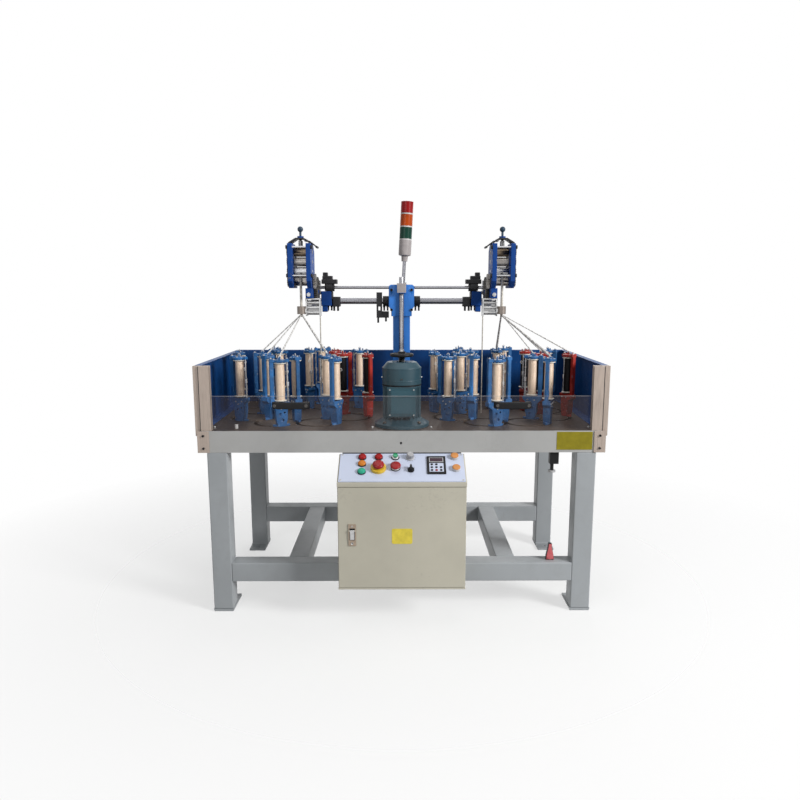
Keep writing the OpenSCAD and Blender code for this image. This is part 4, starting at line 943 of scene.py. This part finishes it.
# Push buttons and switches, each on its own body: finish, slot, steps and the profile over the stem
deviceSet = {
    "emergency_stop": ("redButton", "red_plastic", 40, (
        (19.5, 0), (22.3, 1.2), (23, 4), (22, 8.5), (18.4, 12), (11, 13.6), (0, 14))),
    "stop_button": ("redButton", "red_plastic", 40, (
        (18.5, 0), (20.6, 1), (21, 3), (19.6, 6.5), (14, 8.6), (0, 9))),
    "start_button": ("greenButton", "green_plastic", 40, (
        (9.6, 0), (10, 0.8), (10, 2.8), (8.8, 4), (0, 4))),
    "speed_knob": ("grey", "grey_plastic", 48, (
        (17, 0), (17, 2.5), (15.5, 4), (13.6, 4.6), (12.4, 20), (11, 22), (0, 22))),
    "selector_switch": ("black", "black_plastic", 40, ((13, 0), (13, 6.5), (11.8, 8), (0, 8))),
    "stem": (7.9, 14), "stopLift": 6.3, "buttonLift": 4.3, "seat": 0.3,
    "releaseMark": ((9, -0.9, 13.0), (14, 0.9, 13.3)), "knobMark": ((-0.8, 4, 21.6), (0.8, 12, 22.4)),
    "ribs": 24, "rib": ((12.2, -0.7, 5), (14.2, 0.7, 19)), "gripHeight": 13,
    "grip": ((-4, -11), (4, -11), (4.6, 8), (2.4, 16), (-2.4, 16), (-4.6, 8)),
    "gripMark": ((-0.6, 8, 19.7), (0.6, 14.5, 20.3)),
}


def startDevice(s, name, place, base=0):
    key, _, steps, cap = s[name]
    r, depth = s["stem"]
    profile = [(0, -depth), (r, -depth), (r, base)] + [(x, base + z) for x, z in cap]
    return Piece(name + "_finish").use(key).lathe(profile, place, steps)


def makeDevices(s, c):
    def finishDevice(piece, name):
        piece.done(name, s[name][1], name)

    flat, t = consolePlace(c), c["fascia"]
    place = flat @ shift(*c["stopDisc"][:2], 0)
    base = t + c["stopDisc"][3] + s["stopLift"]
    stop = startDevice(s, "emergency_stop", place, base).use("white")
    (x0, y0, z0), (x1, y1, z1) = s["releaseMark"]
    for k in range(3):
        stop.box((x0, y0, base + z0), (x1, y1, base + z1), 0.2, place @ spin(120 * k + 30))
    finishDevice(stop, "emergency_stop")
    base = t + c["collarHeight"] + s["buttonLift"]
    for name, spot in (("stop_button", c["stopCollar"]), ("start_button", c["startCollar"])):
        finishDevice(startDevice(s, name, flat @ shift(*spot[:2], 0), base), name)
    place = flat @ shift(*c["knob"], t + s["seat"])
    knob = startDevice(s, "speed_knob", place)
    for k in range(s["ribs"]):
        knob.box(*s["rib"], 0.3, place @ spin(360 / s["ribs"] * k))
    knob.use("white").box(*s["knobMark"], 0.2, place)
    finishDevice(knob, "speed_knob")
    place = flat @ shift(*c["selector"], t + s["seat"])
    selector = startDevice(s, "selector_switch", place)
    selector.plate(s["grip"], s["gripHeight"], (), place @ shift(0, 0, 7), 1.2)
    selector.use("white").box(*s["gripMark"], 0.2, place)
    finishDevice(selector, "selector_switch")


makeDevices(deviceSet, consoleSet)
print("console ready")

# Cabinet door: a bare plate and the recessed latch
doorSet = {
    "face": -572.0, "plate": (0.5, 376.0, 40.0, 31.0, 7.0), "plateDepth": 0.8,
    "latch": (-193.0, 382.0, 15.0, 44.0), "latchDepth": 3.3, "recess": (10.5, -21, 27),
    "screws": ((-33, 6), (36, 4)), "hinge": 3,
}


# Rectangle with round corners about the origin, from half its width and height
def roundedOutline(half, high, radius, steps=4):
    outline = []
    for quarter, (sx, sy) in enumerate(((1, 1), (-1, 1), (-1, -1), (1, -1))):
        x, y = sx * (half - radius), sy * (high - radius)
        for k in range(steps + 1):
            a = math.radians(90 * (quarter + k / steps))
            outline.append((x + radius * math.cos(a), y + radius * math.sin(a)))
    return outline


def makeDoor(s):
    piece = skin("cabinet_door", "cabinet", 1.4)
    upright, face = spin(90, "X"), s["face"]                # X to the right, Y up, Z to the front
    x, z, a, b = s["latch"]
    piece.use("latch")
    piece.plate(rectangle(x, z, a, b), s["latchDepth"], (), upright @ shift(0, 0, -face), 0.8)
    half, low, high = s["recess"]
    piece.use("black").box((x - half, face - 3.8, z + low), (x + half, face - 3.0, z + high), 0.3)
    piece.use("zinc")
    for dz, size in s["screws"]:
        piece.capScrew((x, face - 3.2, z + dz), forward, size)
    x, z, half, high, radius = s["plate"]
    outline = roundedOutline(half, high, radius)
    piece.use("yellowPlate").plate(outline, s["plateDepth"], (), upright @ shift(x, z, -face), 0.3)
    piece.done("cabinet_door", "cabinet_paint", "cabinet_door")


def makeLatch(s):
    paddle = Piece("door_latch_finish").use("zinc")
    low, high = corners("door_latch")
    y, r = (low.y + high.y) / 2, s["hinge"]
    paddle.rod((low.x, y, high.z - r), (high.x, y, high.z - r), r, sides=20, bevel=0.4)
    paddle.box((low.x, y - 2, low.z), (high.x, y + 2, high.z - r), 1.2)
    paddle.box((low.x + 2, y - 2.8, low.z + 3), (high.x - 2, y - 1.6, low.z + 12), 0.5)
    paddle.done("door_latch", "bright_steel", "door_latch")


makeDoor(doorSet)
makeLatch(doorSet)

# Signal lamp: three lenses on a leaning pole
lampSet = {
    "foot": (8.0, 202.0, 1342.0), "lean": 3.0, "pole": 107.0, "poleRadius": 8.0, "base": 97.0,
    "radius": 29.0, "lens": 52.0, "ring": 6.0, "ribs": 20, "screw": 3.2,
    "colours": ("lensGreen", "lensOrange", "lensRed"),
}


def makeLamp(s):
    place = shift(*s["foot"]) @ spin(s["lean"], "Y")
    r, p, q = s["radius"], s["pole"], s["poleRadius"]
    top = p + s["base"]
    piece = Piece("signal_pole_finish").use("shaft")
    piece.lathe([
        (0, -0.3), (q + 8, -0.3), (q + 8, 5), (q + 6, 8.5), (q + 1, 10), (q, 10), (q, p + 2), (0, p + 2)],
        place, 32)
    piece.use("lampBody").lathe([
        (0, p), (q + 5, p), (q + 6, p + 2), (q + 7, p + 20), (q + 8, p + 24), (r - 2, p + 27), (r, p + 31),
        (r, top - 30), (r - 0.6, top - 29.5), (r - 0.6, top - 28), (r, top - 27.5), (r, top - 1),
        (r - 1, top), (0, top)], place, 48)
    piece.use("zinc")
    for k in range(3):
        piece.capScrew((0, 0, 8.5), upward, s["screw"], place @ spin(120 * k) @ shift(q + 4.5, 0, 0))
    piece.done("signal_pole", "pole_plastic")
    lenses = Piece("signal_lenses_finish")
    ring, high, count = s["ring"], s["lens"], s["ribs"]
    for k, key in enumerate(s["colours"]):
        z = top + k * (high + ring)
        lenses.use("white").lathe([
            (0, z), (r - 1, z), (r - 0.4, z + 1), (r - 0.4, z + 5), (r - 1, z + 6), (0, z + 6)], place, 48)
        z += ring
        ribs = [(r - 0.5 * (n % 2), z + 1 + (high - 2) * n / count) for n in range(count + 1)]
        profile = [(0, z), (r - 1, z)] + ribs + [(r - 1.5, z + high), (0, z + high)]
        lenses.use(key).lathe(profile, place, 48)
    lenses.done("signal_lenses", "lamp_plastic")


makeLamp(lampSet)
print("signal lamp ready")

# Table: apron with a bare plate, deck with its fastenings
tableSet = {
    "front": -428.5, "plate": (619, 687, 762, 760), "plug": (-3.4, 715, 5),
    "shadeStrip": (238, 4, 666, 684),                             # black strip over the console: painted shadow line under the apron
    "screws": ((120, -350, 763.0), (765, -350, 763.0)), "screw": 6,
    "bolts": ((766, 310, 763.0),), "bolt": 8,
    "stud": ((-672, -364, 763.0), (-672, -364, 779.0)), "studRadius": 7,
}


def makeTable(s):
    apron = skin("table_beams", "table", 1.6)
    front = s["front"]
    x0, z0, x1, z1 = s["plate"]
    apron.use("olive").box((x0, front - 0.9, z0), (x1, front + 0.2, z1), 0.3)
    x, z, r = s["plug"]
    apron.use("iron").rod((x, front - 0.4, z), (x, front + 1, z), r, sides=20)
    half, depth, low, high = s["shadeStrip"]
    # Black strip below the apron: painted shadow line between the apron and the console
    apron.use("black").box((-half, front + 1, low), (half, front + 1 + depth, high), 0.6)
    apron.done("table_beams", "stand_paint")
    deck = skin("track_plate", "deck", 0.8).use("zinc")
    for point in mirrored(s["screws"]):
        deck.capScrew(point, upward, s["screw"])
    for point in mirrored(s["bolts"]):
        deck.bolt(point, upward, s["bolt"])
    deck.use("white").rod(*s["stud"], s["studRadius"], sides=20, bevel=1.5)
    deck.done("track_plate", "deck_steel")


makeTable(tableSet)

# Front posts, clear shield and its handles
frontSet = {
    "grooveShade": (802.2, 1.3), "face": -420.5, "top": 1022.0, "deck": 763.3,
    "tabs": ((791, -432.5, 694), (791, -432.5, 745)), "tabScrew": 6,
    "shield": (793.0, -411.5, -406.5, 902.0), "edge": 0.8,
    "plugs": ((378, -440.9, 867), (502, -440.9, 867)),      # at the ends of the handles
    "plug": ((6.5, 0), (6.5, 1.2), (5, 2.2), (2.6, 2.2), (2.2, 0.8), (0, 0.8)),
}


def makePosts(s):
    posts = skin("guard_posts", "post", 1.0).use("iron")
    grooveShade, half = s["grooveShade"]
    face, low, high = s["face"], s["deck"], s["top"] - 1
    # Black strips down the posts: painted shade in the grooves of the posts
    for x in (-grooveShade, grooveShade):
        posts.box((x - half, face - 0.3, low), (x + half, face + 0.6, high), 0)
    for point in mirrored(s["tabs"]):
        posts.capScrew(point, forward, s["tabScrew"])
    posts.done("guard_posts", "post_aluminium")


def makeShield(s):
    a, front, back, top = s["shield"]
    seam = top - s["edge"]
    pane = Piece("front_shield_finish").use("clear").box((-a, front, s["deck"]), (a, back, seam), 0.5)
    pane.use("clearEdge").box((-a, front, seam), (a, back, top), 0.2)
    pane.done("front_shield", "clear_acrylic", "front_shield")
    grips = skin("shield_handles", "black", 5.0).use("gear")
    for point in mirrored(s["plugs"]):
        grips.lathe(s["plug"], shift(*point) @ turnTo(forward), 20)
    grips.done("shield_handles", "black_plastic", "front_shield")


makePosts(frontSet)
makeShield(frontSet)
print("table and guard ready")

# Motor: lid, band, flange bolts and the hand wheel
motorSet = {
    "axis": (0, -289.5), "flange": (783.0, 99, 8),
    "lid": (54, 818, 928, -389.5), "panel": (11, 10, 6, 10.5, 7.0),
    "lidScrews": ((48, -392.5, 822), (48, -392.5, 924)), "screw": 4,
    "band": (80.0, 951, 1000), "cowlScrew": 12, "joint": (931.5, 937.5), "hub": 1047.5,
    "parts": (("shaft", "steel", 0, 0, 1000, "bright_steel"),           # by the height of their foot
              ("wheel", "black", 0, 1000, 1055, "black_plastic"),
              ("nut", "steel", 0.8, 1055, 2000, "bright_steel")),
}


def makeMotor(s):
    motor = skin("motor_frame", "motor", 1.6).use("gear")
    x, y = s["axis"]
    z, reach, size = s["flange"]
    for k in range(4):
        a = math.radians(45 + 90 * k)
        motor.bolt((x + reach * math.cos(a), y + reach * math.sin(a), z), upward, size)
    half, low, high, face = s["lid"]
    motor.use("motorLid").box((-half, face - 3, low), (half, face + 1, high), 2.5)
    side, foot, head, rise, bevel = s["panel"]
    motor.box((side - half, face - rise, low + foot), (half - side, face - 2, high - head), bevel)
    motor.use("zinc")
    for point in mirrored(s["lidScrews"]):
        motor.capScrew(point, forward, s["screw"])
    motor.done("motor_frame", "motor_paint")


def makeCowl(s):
    cowl = skin("fan_cowl", "motor", 1.0)
    axis = Vector((*s["axis"], 0))
    centre = Matrix.Translation(axis)
    r, low, high = s["band"]
    for z in (low, high):
        cowl.lathe([(r - 0.5, z), (r + 0.9, z + 0.8), (r + 0.9, z + 4.2), (r - 0.5, z + 5)], centre, 64)
    seat = axis + Vector((0, 0, low + s["cowlScrew"]))
    for k in range(4):
        a = math.radians(90 * k)
        out = Vector((math.cos(a), math.sin(a), 0))
        cowl.use("gear" if k % 2 else "zinc").capScrew(seat + out * r, out, s["screw"])
    # Black band round the cowl's foot: painted shade of the gap between frame and cowl
    cowl.use("black").band(r - 1, r + 0.6, *s["joint"], centre, 64)
    cowl.done("fan_cowl", "motor_paint")


def makeShaft(s):
    for end, key, bevel, low, high, slot in s["parts"]:
        def isPart(faces):
            return low <= lowHigh(faces)[0].z < high

        piece = skin("motor_shaft", key, bevel, "motor_shaft_" + end, isPart)
        if end == "wheel":
            piece.repaint("steel", lambda c: c.z < s["hub"])
        piece.done("motor_shaft", slot, "motor_shaft")


makeMotor(motorSet)
makeCowl(motorSet)
makeShaft(motorSet)
print("motor ready")

# Column, head and the clamps on the arms
columnSet = {
    "baseBolts": ((58, 172, 775.0), (58, 292, 775.0)), "baseBolt": 12,
    "headScrews": ((47, 154.0, 1226), (47, 154.0, 1318)), "headScrew": 8, "cap": (150, 1306),
    "arm": (202.0, 1266.0), "clamps": ((73.8, 23.5), (338.5, 22.5)),
    "hang": (-8, 8), "drop": 22.0, "hangRadius": 4.2, "hangBolt": 7, "hangScrew": 6,
    "bearing": (178, 1329, 7.8), "rings": ((322, 352, 25), (314, 322, 18), (352, 358, 16)),
    "pegs": ((300, 196, 1242), (318, 196, 1242)), "pegLength": 22, "pegRadius": 5,
    "blocks": (                                             # two corners on the right, and the bevel
        ((300, 156, 1345), (372, 206, 1366), 2.5), ((322, 160, 1364), (368, 202, 1382), 2.5),
        ((344, 164, 1380), (366, 198, 1398), 2.5), ((322, 164, 1274), (352, 212, 1308), 2.0),
        ((288, 176, 1240), (324, 224, 1286), 4.0)),
}


def makeColumn(s):
    column = skin("column", "column", 3.0).use("gear")
    for point in mirrored(s["baseBolts"]):
        column.bolt(point, upward, s["baseBolt"])
    column.done("column", "blue_paint")
    head = skin("column_head", "column", 3.0)
    y, z = s["cap"]
    head.repaint("lampBody", lambda c: c.y < y and c.z > z)
    head.use("iron")
    for point in mirrored(s["headScrews"]):
        head.capScrew(point, forward, s["headScrew"])
    head.done("column_head", "blue_paint")


# Screws that hang under a clamp ring, with one on its front
def hangScrews(piece, s, x, r):
    y, z = s["arm"]
    piece.rod((x, y, z - r + 2), (x, y, z - r - s["drop"]), s["hangRadius"], sides=12)
    piece.bolt((x, y, z - r), (0, 0, -1), s["hangBolt"])
    piece.capScrew((x, y - r + 1.5, z), forward, s["hangScrew"])


def makeClamps(s):
    clamps = skin("arm_clamps", "iron", 1.0)
    y, z, bore = s["bearing"]
    axis = shift(0, y, z) @ spin(90, "Y")
    for sx, place in ((-1, mirrorX), (1, Matrix())):
        for x, r in s["clamps"]:
            for dx in s["hang"]:
                hangScrews(clamps, s, sx * (x + dx), r)
        for low, high, r in s["rings"]:
            clamps.band(bore, r, low, high, place @ axis, 32)
        for near, far, bevel in s["blocks"]:
            clamps.box(near, far, bevel, place)
    for x, y, z in mirrored(s["pegs"]):
        clamps.rod((x, y, z), (x, y, z - s["pegLength"]), s["pegRadius"], sides=12, bevel=1.0)
    clamps.done("arm_clamps", "black_iron")


makeColumn(columnSet)
makeClamps(columnSet)
print("column ready")

# Take-up units: cheeks, rollers, tension screws and guide frames, mirrored about the middle
takeupSet = {
    "centre": 443.451, "axis": 5.8, "cheek": 50.0, "earBolt": 9,
    "ties": ((-55.2, 1379), (-55.2, 1500), (76.8, 1379), (33.8, 1502)),
    "arms": (((-116, 160, 1244), (-68, 226, 1312)), ((-96, 166, 1216), (-72, 222, 1246))),
    "bracketBolt": (-36, -40.2, 1297), "bracketBoltSize": 8,
    "roof": 1516.0, "roofBolts": (26, 20, 14, 7), "spring": (9.5, 1.3, 3.6, 6, 1507),
    "wing": (-47, 1522, -38), "blade": (-32, 10, 24, 2.5), "bladeRod": 5,
    "collar": (1541.0, 1549.8), "ring": (-20.0, 1211.5, 1246.5, 20.0),
    "rollers": ("bronze", "roller", "steel", "roller"),
}


def makeUnits(s):
    cheeks = skin("takeup_cheeks", "royal", 1.6).use("iron")
    brackets = skin("takeup_brackets", "royal", 1.6)
    fittings = skin("takeup_fittings", "iron", 0.8)
    roof, axis, cheek = s["roof"], s["axis"], s["cheek"]
    fittings.repaint("steel", lambda c: c.z < roof - 4 and abs(abs(c.x) - s["centre"]) < cheek)
    right = shift(s["centre"], 0, 0)
    for place in (right, mirrorX @ right):
        for y, z in s["ties"]:
            for x in (-cheek, cheek):
                if x > 0 or y < 0:                          # the gears run behind, close to the inner cheek
                    cheeks.bolt((x, y, z), (x, 0, 0), s["earBolt"], place)
        brackets.use("zinc").bolt(s["bracketBolt"], forward, s["bracketBoltSize"], place)
        brackets.use("royal")
        for near, far in s["arms"]:
            brackets.box(near, far, 3.0, place)
        r, wire, pitch, turns, z = s["spring"]
        fittings.use("zinc").coil(r, wire, pitch, turns, place @ shift(0, axis, z))
        across, ahead, up, size = s["roofBolts"]
        fittings.use("steel")
        for x in (-across, across):
            fittings.bolt((x, axis - ahead, roof + up), (0, -1, 0.4), size, place)
        x, z, tilt = s["wing"]
        wing = place @ shift(x, axis, z) @ spin(tilt, "Y")
        near, far, half, thick = s["blade"]
        fittings.use("iron").box((near, -half, -thick), (far, half, thick), 1.2, wing)
        fittings.rod((near, -half, 0), (near, half, 0), s["bladeRod"], sides=16, bevel=1.0, place=wing)
    cheeks.done("takeup_cheeks", "blue_paint")
    brackets.done("takeup_brackets", "blue_paint")
    fittings.done("takeup_fittings", "bright_steel")


def makeGuides(s):
    frames = skin("guide_frames", "zinc", 0.8)
    y, low, high, r = s["ring"]

    def isRing(c):
        return low < c.z < high and math.hypot(abs(c.x) - s["centre"], c.y - y) < r

    frames.repaint("oxide", isRing)
    frames.done("guide_frames", "post_aluminium")


def makeRollers(s):
    low, high = s["collar"]
    for side in sides:
        body = "tension_screw_" + side
        screw = skin(body, "royal", 0.6)
        screw.repaint("steel", lambda c: c.z < low)
        screw.repaint("knob", lambda c: c.z > high)
        screw.done(body, "blue_paint", body)
    for level, key in enumerate(s["rollers"]):
        body = "takeup_roller_%d" % (level + 1)
        rollers = skin(body, key, 0)
        rollers.repaint("gear", lambda c: abs(c.x) - s["centre"] > s["cheek"])
        rollers.done(body, "bright_steel", body)


makeUnits(takeupSet)
makeGuides(takeupSet)
makeRollers(takeupSet)
print("take-ups ready")

# Yarns: each runs straight from its carrier's pin at rest to the braid point
# Rotor, carrier, degrees round the bundle and thickness of each
yarnSet = {
    "radius": (2.8, 1.9), "bundle": 7.2, "end": 1206.0, "start": 1.8, "hold": 0.04,
    "left": ((3, 1, 165, 1.0), (4, 1, 208, 1.0), (5, 0, 250, 1.3), (6, 1, 315, 1.7), (1, 0, 68, 1.8)),
    "right": ((6, 0, 272, 1.9), (6, 1, 308, 1.0), (7, 0, 344, 1.0), (7, 1, 20, 1.0), (1, 1, 90, 2.0)),
}


def makeYarns(s):
    bundle, hold = s["bundle"], s["hold"]
    for side in sides:
        head = headCentre(side)
        for i, k, angle, full in s[side]:
            low = carrierPlace(side, i, k) @ Vector((0, 0, carrierSet["pinTop"] + s["start"]))
            a = math.radians(angle)
            high = Vector((head.x + bundle * math.cos(a), head.y + bundle * math.sin(a), s["end"]))
            yarn = Piece("yarn_%s_%d_%d" % (side, i + 1, k + 1)).use("strand")
            thick = [r * full for r in s["radius"]]
            made = yarn.rod(low, high, *thick, sides=10).done("yarns", "yarn", None)
            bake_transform(made)


makeYarns(yarnSet)

# Yarn stop switch and the fitting on the lower rail
switchSet = {"foot": 598.0, "rail": 300.0, "sheave": (616, 227, 13.4), "front": -396.0}


def makeSwitch(s):
    piece = skin("stop_switch", "black", 1.0)
    x, z, r = s["sheave"]
    piece.repaint("grey", lambda c: s["rail"] < c.z < s["foot"])
    piece.repaint("sheave", lambda c: c.y < s["front"] and math.hypot(c.x - x, c.z - z) < r)
    piece.done("stop_switch", "black_plastic")


makeSwitch(switchSet)
print("fittings ready")

bpy.data.meshes.remove(scratch)
